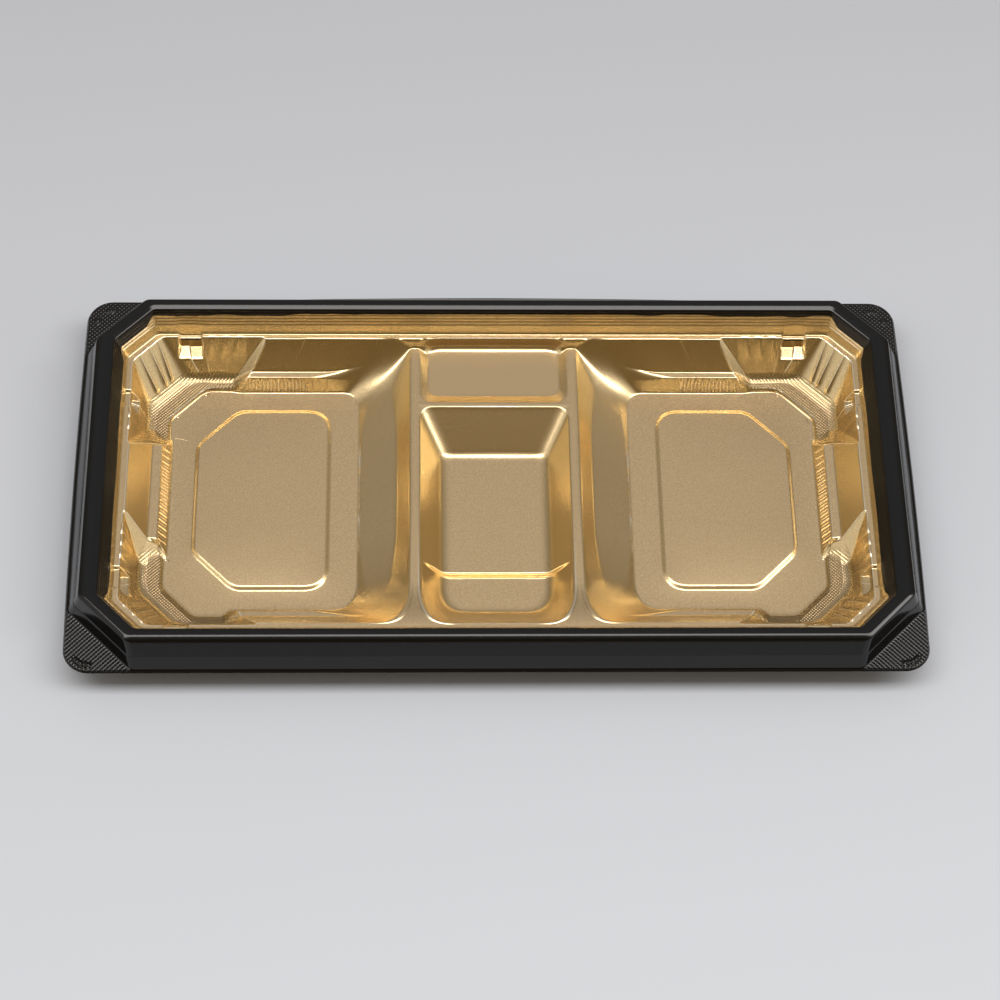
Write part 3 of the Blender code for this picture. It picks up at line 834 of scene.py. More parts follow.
# Rows of the walls above this depth are one piece, and those below it another
CUT_DEPTH = 2.05


def thinned(counts, share):
    """Fewer points per corner and side."""
    return [Counts(max(4, round(c.corner * share)), even(max(3, round(len(c.shares) * share))))
            for c in counts]


def on_nib(value, span, grow=0.0):
    """1 across a nib that is grown by a margin, 0 outside it."""
    return between(value, span[0] - grow, span[1] + grow, NIB_EDGE)


def nib_dip(x, y):
    """How much each point of the ledge lies in a nib's notch."""
    long = on_nib(np.abs(x), NIB_LONG) * (np.abs(y) > LEDGE_Y - LEDGE_MARGIN)
    side = on_nib(y, NIB_SIDE_REAR) + on_nib(-y, NIB_SIDE_FRONT)
    return np.maximum(long, side * (np.abs(x) > LEDGE_X - LEDGE_MARGIN))


def ledge_height(x, y):
    """Height of the ledge, the dividers' crowned tops and the slopes between them."""
    rear = (y - DIVIDER_REAR_Y) / REAR_END_LENGTH
    front = (DIVIDER_FRONT_Y - y) / FRONT_END_LENGTH
    share = smooth(np.maximum(rear, front))
    across = (np.abs(x) - DIVIDER_INNER_X - DIVIDER_WIDTH / 2) / (DIVIDER_WIDTH / 2)
    crown = DIVIDER_CROWN * hump(across)
    along = (y - CROSS_FRONT_Y - CROSS_WIDTH / 2) / (CROSS_WIDTH / 2)
    cross = CROSS_CROWN * hump(along) * (np.abs(x) < DIVIDER_INNER_X + DIVIDER_WIDTH / 2)
    top = DIVIDER_TOP + np.maximum(crown, cross)
    slope = top + (LEDGE_TOP - top) * share
    return np.where(np.abs(x) > RAMP_REACH_X, LEDGE_TOP, slope) - NIB_DIP * nib_dip(x, y)


def on_ledge(flat):
    """Flat points lifted to the ledge or the dividers."""
    return np.column_stack([flat, ledge_height(flat[:, 0], flat[:, 1])])


def outer_keys(xs, ys, pockets):
    """The 14 corners of the left outer compartment at one level, from its rear inner one.

    xs: the divider's side, the panels' ends, the creases, the pockets and the side panel.
    ys: the long panels, the side panel's ends and the creases. pockets: y and chamfer, rear then front.
    """
    inner, end, crease, pocket, panel = xs
    panel_y, end_y, crease_y = ys
    halves = []
    for y, cut in pockets:
        half = [(-inner, panel_y), (-end, panel_y), (-crease, y), (cut - pocket, y), (-pocket, y - cut)]
        halves.append(half + [(-pocket, crease_y), (-panel, end_y)])
    return halves[0] + [(x, -y) for x, y in halves[1][::-1]]


def outer_mouth(counts, spread=0.0, inner_spread=0.0):
    """The left outer compartment's mouth, or an outline a little wider."""
    x = LEDGE_X + spread
    y = LEDGE_Y - PANEL_IN_LONG + spread
    pocket = (LEDGE_Y + POCKET_OUT_LONG + spread, LEDGE_CUT + POCKET_CUT_MORE + spread * CUT_SHRINK)
    inner = DIVIDER_OUTER_X - inner_spread
    xs = (inner, PANEL_END_X, PANEL_END_X + PANEL_CREASE, x + POCKET_OUT_SIDE, x)
    keys = outer_keys(xs, (y, PANEL_HALF_Y, PANEL_HALF_Y + PANEL_CREASE), (pocket, pocket))
    reach = cut_reach(CORNER_ROUND)
    half = [END_TRIMS, CREASE_TRIMS[::-1], (reach, reach), (reach, reach), CREASE_TRIMS, END_TRIMS[::-1]]
    rear = (REAR_END_LENGTH + spread, REAR_END_OUTER)
    front = (FRONT_END_OUTER, FRONT_END_LENGTH + spread)
    flat, places = eased_ring(keys, [rear, *half, *half, front], counts)
    return on_ledge(flat), places


def outer_level(i, counts):
    """One level of the left outer compartment: the wall's foot, the step's edge or the floor's."""
    panel_y = LEDGE_Y - np.cumsum(PANEL_RUNS_LONG)[i]
    panel_x = LEDGE_X - np.cumsum(PANEL_RUNS_SIDE)[i]
    high = (WALL_STEP_TOP, WALL_STEP_TOP - WALL_STEP_FALL, FLOOR_TOP)[i]
    low = (BENCH_RIDGE_TOP, BENCH_FOOT_TOP, FLOOR_TOP)[i]
    inner_z = (INNER_BREAK_TOP, INNER_FOOT_TOP, FLOOR_TOP)[i]
    end_x = PANEL_END_X + PANEL_END_RUNS_X[i]
    end_y = PANEL_HALF_Y + PANEL_END_RUNS_Y[i]
    inner_x = DIVIDER_OUTER_X + INNER_RUNS[i]
    xs = (inner_x, end_x, end_x + CREASE_RUNS_X[i], LEDGE_X - POCKET_RUNS_SIDE[i], panel_x)
    rear = (LEDGE_Y - POCKET_RUNS_REAR[i], POCKET_CUTS_REAR[i])
    front = (LEDGE_Y - POCKET_RUNS_FRONT[i], POCKET_CUTS_FRONT[i])
    keys = outer_keys(xs, (panel_y, end_y, end_y + CREASE_RUNS_Y[i]), (rear, front))
    heights = [high, high, low, low, low, low, high]
    small = (CREASE_EASE, CREASE_EASE)
    turn = (POCKET_TURNS[i], POCKET_TURNS[i])
    half = [small, small, turn, turn, small, small]
    keys = [(*key, z) for key, z in zip(keys, heights + heights[::-1])]
    ring, _ = eased_ring(keys, [INNER_TURNS_REAR[i][::-1], *half, *half, INNER_TURNS_FRONT[i]], counts)
    if i == 1:
        beyond = smooth((np.abs(ring[:, 1]) - end_y + SHELF_END_RUN) / SHELF_END_RUN)
        at_side = ring[:, 0] < -PANEL_END_X - SHELF_END_BEYOND
        ring[:, 2] -= SHELF_END_DROP * beyond * (ring[:, 2] > low) * at_side
        ring[:, 2] = np.maximum(ring[:, 2], low)
    return beside_divider(ring, counts, high, inner_z)


def beside_divider(ring, counts, high, low):
    """Lets a level sink to its height beside the divider round its two inner corners."""
    first = counts[0].corner
    last = counts[-1].corner + len(counts[-1].shares)
    ring[:first, 2] = low + (high - low) * smooth(np.linspace(0, 1, first))
    front = counts[-1].corner
    start = len(ring) - last
    ring[start:start + front, 2] = high + (low - high) * smooth(np.linspace(0, 1, front))
    ring[start + front:, 2] = low
    return ring


def pocket_share(places):
    """1 in the corner pockets, 0 on the panels."""
    return sum(window(places, *span) for span in POCKET_SPANS)


def end_share(places, last):
    """1 from an outline's last corner to its first, 0 on the rest of the way round."""
    return smooth((places - last) / 0.5) + smooth((0.5 - places) / 0.5)


def corner_share(places):
    """A soft bump over each of the two corners beside the divider."""
    keys = len(OUTER_COUNTS)
    total = 0 * places
    for corner in (CORNER_MIDDLE, keys - 1 + CORNER_MIDDLE):
        away = (places - corner + keys / 2) % keys - keys / 2
        total = total + smooth(CORNER_SWELL * (1 - np.abs(away) / CORNER_REACH))
    return total


def outer_wall(counts, grow):
    """The walls of the left outer compartment, from a strip of the ledge to a strip of the floor.

    Also gives each row's depth and each column's place. The nibs' notches grow by a margin.
    """
    seam, places = outer_mouth(counts, MOUTH_STRIP, DIVIDER_STRIP)
    mouth, _ = outer_mouth(counts)
    levels = [outer_level(i, counts) for i in range(3)]
    for level, share in zip(levels, CORNER_SHARES):
        straight = mouth + (levels[2] - mouth) * share
        level += (straight - level) * corner_share(places)[:, None]
    inward = unit(levels[2][:, :2] - levels[1][:, :2])
    strip = levels[2].copy()
    strip[:, :2] += inward * FLOOR_STRIP
    rings = [seam, mouth, *levels, strip]
    mouth_ease = MOUTH_EASE + DIVIDER_EASE_MORE * end_share(places, len(counts) - 1)[:, None]
    bench_ease = FOOT_EASE + BENCH_EASE_MORE * pocket_share(places)[:, None]
    grid, depths = eased_profile(rings, (mouth_ease, bench_ease, STEP_EASE, FOOT_EASE), OUTER_SHARES)
    return nibbed(grid, depths, grow), depths, places


def nibbed(grid, depths, grow):
    """The wall with its stacking nibs pushed outward."""
    x, y = grid[..., 0].copy(), grid[..., 1].copy()
    share = depths[:, None] - 1 + 0 * x
    grown = grow * (share > 0) * (share < NIB_GROWN)
    long = np.interp(share, NIB_SHARES, NIB_PUSH_LONG) + grown
    side = np.interp(share, NIB_SHARES, NIB_PUSH_SIDE) + grown
    on_long = on_nib(np.abs(x), NIB_LONG, grow) * (np.abs(y) > LONG_WALL_Y)
    on_side = on_nib(y, NIB_SIDE_REAR, grow) + on_nib(-y, NIB_SIDE_FRONT, grow)
    on_side = on_side * (np.abs(x) > SIDE_WALL_X)
    grid[..., 1] += np.sign(y) * long * on_long * (share >= 0)
    grid[..., 0] += np.sign(x) * side * on_side * (share >= 0)
    return grid


def outer_relief(grid, depths, places):
    """Fine relief of an outer compartment's walls, along the sheet's normals."""
    x, y = grid[..., 0], grid[..., 1]
    depth = depths[:, None] + 0 * x
    place = places[None, :] + 0 * x
    relief = window(depth, *LOWER_SPAN) * wall_ribs(x, y)
    relief = relief + bulges(x, y, depth)
    relief = relief + window(depth, *UPPER_SPAN) * flutes(place, depth - 1)
    at_mouth = np.abs(depth - 1.0) < SAME_DEPTH
    relief = relief + ROLL_HEIGHT * at_mouth * bump(place - ROLL_PLACES[0], ROLL_REACH)
    return relief + panel_beads(grid, depth, places)


def wall_ribs(x, y):
    """Fine upright ribs of the lower walls."""
    side = smooth(PANEL_HALF_Y + RIB_SIDE_MORE - np.abs(y))
    rear = window(-x, RIB_REAR_FROM, RIB_REAR_FADE, PANEL_END_X + RIB_REAR_MORE, RIB_REAR_FADE)
    on_long = np.abs(y) > LOWER_LONG_Y
    along = np.where(on_long, x, y) * 2 * np.pi / RIB_PITCH
    ribs = RIB_DEPTH * np.cos(along) + RIB_SECOND * np.cos(along / 2)
    return np.where(on_long, rear, side) * ribs


def row_of_bulges(value, edges):
    """Soft bulges of height 1 between edges, with a groove at each edge."""
    total = 0 * value
    for low, high in zip(edges, edges[1:]):
        total = total + hump((value - low) / (high - low) * 2 - 1)
    return total


def bulges(x, y, depth):
    """Soft bulges under the ledge beside the nibs."""
    long = row_of_bulges(np.abs(x), BULGES_LONG) * (y > LONG_WALL_Y)
    side = row_of_bulges(y, BULGES_SIDE_REAR) + row_of_bulges(-y, BULGES_SIDE_FRONT)
    fade = smooth((depth - BULGE_START[0]) / BULGE_START[1]) * (1 - smooth((depth - 1) / BULGE_END))
    return BULGE_HEIGHT * fade * (long + side * (np.abs(x) > SIDE_WALL_X))


def flutes(place, share):
    """Hollow flutes between sharp ridges down the two chamfered corners."""
    rear = (place - FLUTE_PLACES[0]) * 2
    front = 1 - (place - FLUTE_PLACES[1]) * 2
    across = np.where(place < len(OUTER_COUNTS) / 2, rear, front)
    on_chamfer = (across > -FLUTE_MARGIN) & (across < 1 + FLUTE_MARGIN)
    tops = [top + (foot - top) * share for top, foot in zip(FLUTE_TOPS, FLUTE_FEET)]
    total = 0 * across
    for low, high in zip(tops, tops[1:]):
        v = (across - low) / (high - low)
        total = np.where((v >= 0) & (v <= 1), (2 * v - 1) ** 2, total)
    for beyond in (tops[0] - across, across - tops[-1]):
        total = np.where(beyond > 0, np.clip(1 - beyond / FLUTE_END, 0, 1) ** 2, total)
    height = FLUTE_RISE[0] + (FLUTE_RISE[1] - FLUTE_RISE[0]) * np.clip(share, 0, 1)
    return total * height * on_chamfer


def panel_beads(grid, depth, places):
    """A fine bead down each end of the panels."""
    steps = np.linalg.norm(np.diff(grid, axis=1), axis=2)
    along = np.concatenate([np.zeros((len(grid), 1)), np.cumsum(steps, axis=1)], axis=1)
    total = np.zeros(grid.shape[:2])
    for corner in BEAD_CORNERS:
        column = int(np.argmin(np.abs(places - corner - CORNER_MIDDLE)))
        total += bump(along - along[:, column:column + 1], BEAD_HALF)
    return BEAD_HEIGHT * total * window(depth, *BEAD_SPAN)


def plateau_rings():
    """The outline of the raised plateau's foot and top, with the rows of its slope between."""
    out_x = LEDGE_X - sum(PANEL_RUNS_SIDE) - PLATEAU_MARGIN_SIDE
    in_x = DIVIDER_OUTER_X + INNER_RUNS[-1] + PLATEAU_MARGIN_INNER
    half_x = (out_x - in_x) / 2
    half_y = LEDGE_Y - sum(PANEL_RUNS_LONG) - PLATEAU_MARGIN_LONG
    middle = -(out_x + in_x) / 2
    rings = []
    for share in np.linspace(0, 1, PLATEAU_ROWS):
        inset = share * PLATEAU_SLOPE
        cut = PLATEAU_CUT - inset * CUT_SHRINK
        x = half_x - inset
        y = half_y - inset
        keys = [(x, y), (cut - x, y), (-x, y - cut), (-x, cut - y), (cut - x, -y), (x, -y)]
        turn = (cut_reach(PLATEAU_CUT_ROUND - inset),) * 2
        inner = (PLATEAU_RADIUS - inset,) * 2
        flat, _ = eased_ring(keys, [inner, turn, turn, turn, turn, inner], [PLATEAU_COUNTS] * 6)
        z = FLOOR_TOP + PLATEAU_RISE * float(smooth(share))
        rings.append(at_height(flat + (middle, 0.0), z))
    return np.array(rings)


def level_floor(height):
    """A height function for a level floor."""
    return lambda x, y: np.full(len(x), height)


def add_outer_floor(sheet, edge):
    """The left outer compartment's floor inside its strip, with the raised plateau."""
    plateau = plateau_rings()
    sheet.add_fill(edge, [plateau[0]], level_floor(FLOOR_TOP))
    sheet.add_grid(plateau)
    sheet.add_fill(plateau[-1], [], level_floor(FLOOR_TOP + PLATEAU_RISE))


def outer_sheets():
    """The left outer compartment in two: its upper walls, and its lower walls with the floor."""
    grid, depths, places = outer_wall(FINE["outer"], 0.0)
    grid = embossed(grid, outer_relief(grid, depths, places))
    row = int(np.argmax(depths > CUT_DEPTH))
    pocket = pocket_share(places)[None, :] * between(depths[:, None], *KNURL_DEPTHS)
    upper = one_grid(grid[:row + 1], pocket[:row + 1])
    lower = one_grid(grid[row:], pocket[row:])
    add_outer_floor(lower, grid[-1])
    return upper, lower


def outer_underside(counts):
    """The whole left outer compartment without its fine relief."""
    grid, _, _ = outer_wall(counts, NIB_MARGIN)
    sheet = one_grid(grid)
    add_outer_floor(sheet, grid[-1])
    return sheet


# Middle compartments
STEP_SHARES = crowded((0.82, 46), (1.0, 90))
MIDDLE_COUNTS = [Counts(28, STEP_SHARES), Counts(20, even(60)), Counts(20, 1 - STEP_SHARES[::-1]),
                 Counts(28, even(60))]
SMALL_ROWS = [(), even(12), ()]
MIDDLE_ROWS = [(), even(16), even(6)]


def box_keys(x, rear, front):
    """The four corners of an outline, from its rear left one."""
    return [(-x, rear), (-x, front), (x, front), (x, rear)]


def small_outline(spread, strip):
    """The rear middle compartment's mouth, or an outline a little wider."""
    keys = box_keys(DIVIDER_INNER_X + strip, LEDGE_Y + spread, CROSS_REAR_Y - spread)
    ramp = (REAR_END_INNER + spread, REAR_END_LENGTH + spread)
    turn = (MOUTH_RADIUS + spread,) * 2
    return keys, [ramp, turn, turn, ramp[::-1]]


def middle_outline(spread, strip):
    """The front middle compartment's mouth, or an outline a little wider."""
    keys = box_keys(DIVIDER_INNER_X + strip, CROSS_FRONT_Y + spread, -LEDGE_Y - spread)
    ramp = (FRONT_END_LENGTH + spread, FRONT_END_INNER + spread)
    turn = (MOUTH_RADIUS + spread,) * 2
    return keys, [turn, ramp, ramp[::-1], turn]


def floor_ring(keys, rear_radius, front_radius, height, counts):
    """A level ring with four rounded corners."""
    back, fore = (rear_radius,) * 2, (front_radius,) * 2
    return at_height(eased_ring(keys, [back, fore, fore, back], counts)[0], height)


def mouth_rings(outline, counts):
    """A middle compartment's seam and mouth on the ledge, and the columns' places."""
    seam, places = eased_ring(*outline(MOUTH_STRIP, DIVIDER_STRIP), counts)
    mouth, _ = eased_ring(*outline(0.0, 0.0), counts)
    return [on_ledge(seam), on_ledge(mouth)], places


def small_sheet(counts):
    """The shallow compartment behind the cross divider."""
    rings, places = mouth_rings(small_outline, counts)
    half_x = DIVIDER_INNER_X - SMALL_WALL_RUN_X
    rear = LEDGE_Y - SMALL_REAR_KEY_RUN
    front = CROSS_REAR_Y + SMALL_WALL_RUN_FRONT
    for inset in (0.0, SMALL_STRIP):
        keys = box_keys(half_x - inset, rear - inset, front + inset)
        radius = SMALL_FLOOR_RADIUS - inset * SMALL_RADIUS_SHARE
        rings.append(floor_ring(keys, radius, radius, SMALL_FLOOR_TOP, counts))
    at_rear = end_share(places, len(counts) - 1)
    ease = (SMALL_FOOT_EASE + (SMALL_REAR_EASE - SMALL_FOOT_EASE) * at_rear)[:, None]
    grid, _ = eased_profile(rings, (MOUTH_EASE, ease), SMALL_ROWS, MIDDLE_EASE_ROWS)
    sheet = one_grid(grid)
    sheet.add_fill(grid[-1], [], level_floor(SMALL_FLOOR_TOP))
    return sheet


def middle_lift(y):
    """How much the front middle compartment's floor rises behind its step."""
    return (MIDDLE_REAR_TOP - FLOOR_TOP) * smooth((y - MIDDLE_STEP_FOOT_Y) / MIDDLE_STEP_RUN)


def middle_floor_height(x, y):
    """Height of the front middle compartment's floor, which steps down to the front."""
    return FLOOR_TOP + middle_lift(y) + 0 * x


def middle_sheet(counts, steps=1.0):
    """The compartment in front of the cross divider."""
    rings, places = mouth_rings(middle_outline, counts)
    half_x = DIVIDER_INNER_X - MIDDLE_WALL_RUN_X
    rear = CROSS_FRONT_Y - MIDDLE_WALL_RUN_REAR
    for inset in (0.0, MIDDLE_STRIP):
        keys = box_keys(half_x - inset, rear - inset, MIDDLE_FRONT_Y + inset)
        back = MIDDLE_REAR_RADIUS - inset * MIDDLE_RADIUS_SHARE
        fore = MIDDLE_FRONT_RADIUS - inset * MIDDLE_RADIUS_SHARE
        rings.append(floor_ring(keys, back, fore, FLOOR_TOP, counts))
    on_side = between(places, 0.25, 1.25, 0.5) + between(places, 2.25, 3.25, 0.5)
    ease = (MIDDLE_FOOT_EASE + (MIDDLE_SIDE_EASE - MIDDLE_FOOT_EASE) * on_side)[:, None]
    grid, depths = eased_profile(rings, (MIDDLE_MOUTH_EASE, ease), MIDDLE_ROWS, MIDDLE_EASE_ROWS)
    grid[..., 2] += middle_lift(grid[..., 1]) * np.clip(depths - 1, 0, 1)[:, None]
    at_mouth = (np.abs(depths - 1.0) < SAME_DEPTH)[:, None]
    roll = sum(bump(places - place, ROLL_REACH) for place in ROLL_PLACES[1:])
    grid = embossed(grid, ROLL_HEIGHT * at_mouth * roll)
    sheet = one_grid(grid)
    low = (-half_x, MIDDLE_STEP_FOOT_Y - STEP_POINTS_MORE)
    high = (half_x, MIDDLE_STEP_Y + STEP_POINTS_MORE)
    fine = inner_points(low, high, STEP_POINTS, steps)
    sheet.add_fill(grid[-1], [], middle_floor_height, [fine])
    return sheet


def inner_points(low, high, spacing, steps):
    """Points over a rectangle, with their least distance from the edges, for a fill."""
    step, gap = spacing
    return lattice(low, high, step * steps), gap


def ledge_sheet(outline, counts):
    """The ledge inside an outline, the dividers' tops and their sloped ends, round the four mouths."""
    left, _ = outer_mouth(counts["outer"], MOUTH_STRIP, DIVIDER_STRIP)
    small = mouth_rings(small_outline, counts["middle"])[0][0]
    middle = mouth_rings(middle_outline, counts["middle"])[0][0]
    right = left * (-1, 1, 1)
    x0 = DIVIDER_INNER_X + DIVIDER_STRIP
    x1 = DIVIDER_OUTER_X - DIVIDER_STRIP
    regions = [
        ((-REAR_RAMP_X, DIVIDER_REAR_Y - 1), (REAR_RAMP_X, LEDGE_Y + 1), REAR_RAMP_POINTS),
        ((-FRONT_RAMP_X, -LEDGE_Y - 1), (FRONT_RAMP_X, DIVIDER_FRONT_Y + 1), FRONT_RAMP_POINTS),
        ((-x1, DIVIDER_FRONT_Y), (-x0, DIVIDER_REAR_Y), DIVIDER_POINTS),
        ((x0, DIVIDER_FRONT_Y), (x1, DIVIDER_REAR_Y), DIVIDER_POINTS),
        ((-x1, CROSS_FRONT_Y), (x1, CROSS_REAR_Y), CROSS_POINTS),
    ]
    lattices = [inner_points(*region, counts["steps"]) for region in regions]
    sheet = Sheet()
    sheet.add_fill(outline, [left, right, small, middle], ledge_height, lattices)
    return sheet


FINE = {"outer": OUTER_COUNTS, "middle": MIDDLE_COUNTS, "steps": 1.0}
COARSE = {"outer": thinned(OUTER_COUNTS, 0.25), "middle": thinned(MIDDLE_COUNTS, 0.35), "steps": 2.2}
FILM_BAND_ROWS = [even(38), ()]
BLACK_BAND_ROWS = [crowded((0.7, 39), (1.0, 5)), ()]
RIM_ROWS = [even(6), (), even(2), even(4), ()]
FLANGE_ROWS = [even(2), even(25), even(4), even(2), ()]


def down_band(rings, share):
    """A ring on the band, by the share of the way from the rim down to the ledge."""
    return rings["rim_inner"] + (rings["ledge_outer"] - rings["rim_inner"]) * share


def band_grid(upper, rings, rows):
    """The grooved band from an upper ring down to the ledge."""
    levels = [upper, rings["ledge_outer"], rings["ledge_seam"]]
    grid, _ = eased_profile(levels, (BAND_FOOT_EASE,), rows)
    return embossed(grid, grooved(grid))


def film_band(rings):
    """The film's rows from its edge on the band down to the ledge."""
    edge = down_band(rings, film_share(rings["rim_inner"])[:, None])
    return band_grid(edge, rings, FILM_BAND_ROWS)


def lifted(sheet, rise):
    """The same sheet a little higher."""
    sheet.points = [points + (0.0, 0.0, rise) for points in sheet.points]
    return sheet


def rim_sheet(rings):
    """The black sheet from the skirt's foot over the crowned rim."""
    levels = [rings[name] for name in ("skirt", "rim", "rim_top", "rim_crest", "rim_inner")]
    levels.append(down_band(rings, RIM_TURN_SHARE))
    grid, _ = eased_profile(levels, RIM_EASES, RIM_ROWS)
    return one_grid(grid)


def band_sheet(rings):
    """The black grooved band from under the rim down to the ledge."""
    return one_grid(band_grid(down_band(rings, RIM_TURN_SHARE), rings, BLACK_BAND_ROWS))


def flange_sheet(rings):
    """The black sheet outside the skirt: the step, the slope, the flange with its tabs and the lip."""
    levels = [rings[name] for name in ("lip", "flange", "slope", "step", "skirt")]
    skirt_up = levels[-1] + (rings["rim"] - rings["skirt"]) * SKIRT_UP_SHARE
    grid, depths = eased_profile([*levels, skirt_up], FLANGE_EASES, FLANGE_ROWS)
    x, y = np.abs(grid[..., 0]), grid[..., 1]
    flat = between(depths[:, None], 1.0, 2.0, FLAT_FADE)
    on_tab = smooth((x + np.abs(y) - TAB_FROM) / TAB_FADE) * flat
    grid[..., 2] += tab_buttons(x, y) * flat
    return one_grid(grid, on_tab)


def arc_ridge(x, y, radius, half, start, end):
    """A ridge along an arc round a tab's middle, between two angles in degrees."""
    dx = x - FLANGE_X + TAB_RADIUS
    dy = np.abs(y) - FLANGE_Y + TAB_RADIUS
    angle = np.degrees(np.arctan2(dy, dx))
    return bump(np.hypot(dx, dy) - radius, half) * between(angle, start, end, ARC_FADE)


def tab_buttons(x, y):
    """Low crescents on the front tabs, and a ring and an arc on the rear ones."""
    front = arc_ridge(x, y, *CRESCENT)
    ring = bump(np.hypot(x - RING_PLACE[0], y - RING_PLACE[1]) - RING_RADIUS, RING_HALF)
    rear = np.maximum(arc_ridge(x, y, *REAR_ARC), ring)
    return BUTTON_RISE * np.where(y < 0, front, rear)


def underside_sheet(rings):
    """The black sheet under the ledge and the middle compartments, coarser, as nobody sees its top."""
    sheet = ledge_sheet(rings["ledge_seam"], COARSE)
    for part in (small_sheet(COARSE["middle"]), middle_sheet(COARSE["middle"], COARSE["steps"])):
        sheet.add(np.concatenate(part.points), part.faces, np.concatenate(part.marks))
    return lifted(sheet, -UNDER_DROP)


def add_node(tree, kind, inputs=(), **settings):
    """The outputs of a new shader node, whose inputs are given as values or sockets."""
    node = tree.nodes.new("ShaderNode" + kind)
    for name, value in settings.items():
        setattr(node, name, value)
    for name, value in dict(inputs).items():
        if isinstance(value, bpy.types.NodeSocket):
            tree.links.new(value, node.inputs[name])
        else:
            node.inputs[name].default_value = value
    return node.outputs


def math_node(tree, operation, *values):
    """The result of a math node on one or two values or sockets."""
    return add_node(tree, "Math", enumerate(values), operation=operation)[0]


def note(tree, name):
    """What the mesh notes at each point under a name, from 0 to 1."""
    return add_node(tree, "Attribute", attribute_name=name)["Fac"]


def knurl_height(tree, places, pitch):
    """A fine diagonal hatch, mirrored across the tray's middle, where the sheet is marked for it."""
    split = add_node(tree, "SeparateXYZ", {"Vector": places})
    across = math_node(tree, "ABSOLUTE", split["X"])
    turns = 2 * math.pi / (pitch * MM)
    waves = []
    for operation, share in (("ADD", KNURL_SHARE), ("SUBTRACT", 1 - KNURL_SHARE)):
        along = math_node(tree, operation, split["Y"], across)
        lines = math_node(tree, "SINE", math_node(tree, "MULTIPLY", along, turns * math.sqrt(0.5)))
        waves.append(math_node(tree, "MULTIPLY", lines, share))
    return math_node(tree, "MULTIPLY", math_node(tree, "ADD", *waves), note(tree, "knurl"))


def bumped(tree, height, distance, before=None):
    """A normal dented by a height, in millimetres."""
    inputs = {"Strength": 1.0, "Distance": distance * MM, "Height": height}
    if before is not None:
        inputs["Normal"] = before
    return add_node(tree, "Bump", inputs)["Normal"]


def grain(tree, places, scale):
    """Fine noise over the surface."""
    return add_node(tree, "TexNoise", {"Scale": scale, "Detail": GRAIN_DETAIL, "Vector": places})["Fac"]


def mixed(tree, share, first, second):
    """A colour between two, by a share."""
    mix = tree.nodes.new("ShaderNodeMix")
    mix.data_type = "RGBA"
    tree.links.new(share, mix.inputs["Factor"])
    for name, value in (("A", first), ("B", second)):
        socket = [s for s in mix.inputs if s.name == name and s.type == "RGBA"][0]
        if isinstance(value, tuple):
            socket.default_value = (*value, 1)
        else:
            tree.links.new(value, socket)
    return [s for s in mix.outputs if s.type == "RGBA"][0]


def colour_ramp(tree, value, stops):
    """Colours along a value, from stops of a place and a colour."""
    ramp = tree.nodes.new("ShaderNodeValToRGB")
    while len(ramp.color_ramp.elements) < len(stops):
        ramp.color_ramp.elements.new(0.5)
    for element, (place, colour) in zip(ramp.color_ramp.elements, stops):
        element.position = place
        element.color = (*colour, 1)
    tree.links.new(value, ramp.inputs["Fac"])
    return ramp.outputs["Color"]


def new_material(name):
    """A material with its node tree and its shader."""
    material = bpy.data.materials.new(name)
    material.use_nodes = True
    return material, material.node_tree, material.node_tree.nodes["Principled BSDF"]


def gold_colour(tree, noise):
    """Gold with painted shade by slope, a painted highlight on its sharp edges, grain, and painted shade
    where it is knurled.
    """
    normal = add_node(tree, "NewGeometry")["Normal"]
    # Painted shade: the colour follows how steep the surface stands in the world
    level = add_node(tree, "SeparateXYZ", {"Vector": normal})["Z"]
    # Painted highlight: pale colour on sharp outward bends
    highlight_share = math_node(tree, "MULTIPLY", note(tree, "edge"), HIGHLIGHT_PAINT_SHARE)
    colour = mixed(tree, highlight_share, colour_ramp(tree, level, GOLD_PAINTED_SHADE_BY_SLOPE), GOLD_PAINTED_HIGHLIGHT)
    low, high = GRAIN_RANGE
    limits = {"From Min": low, "From Max": high, "To Min": GRAIN_SHADE, "To Max": 2 - GRAIN_SHADE}
    shade = add_node(tree, "MapRange", {**limits, "Value": noise})["Result"]
    # Painted shade: darker colour where the film is knurled
    knurled = math_node(tree, "MULTIPLY", note(tree, "knurl"), KNURL_SHADE - 1)
    scale = math_node(tree, "MULTIPLY", shade, math_node(tree, "ADD", knurled, 1.0))
    return add_node(tree, "VectorMath", {0: colour, "Scale": scale}, operation="SCALE")["Vector"]


def gold_material():
    """Satin gold film with a fine grain and knurled pockets."""
    material, tree, shader = new_material("gold_film_satin")
    shader.inputs["Metallic"].default_value = 1.0
    shader.inputs["Roughness"].default_value = GOLD_ROUGHNESS
    places = add_node(tree, "TexCoord")["Object"]
    noise = grain(tree, places, GRAIN_SCALE)
    tree.links.new(gold_colour(tree, noise), shader.inputs["Base Color"])
    fine = bumped(tree, noise, GRAIN_DEPTH)
    normal = bumped(tree, knurl_height(tree, places, KNURL_PITCH), KNURL_DEPTH, fine)
    tree.links.new(normal, shader.inputs["Normal"])
    return material


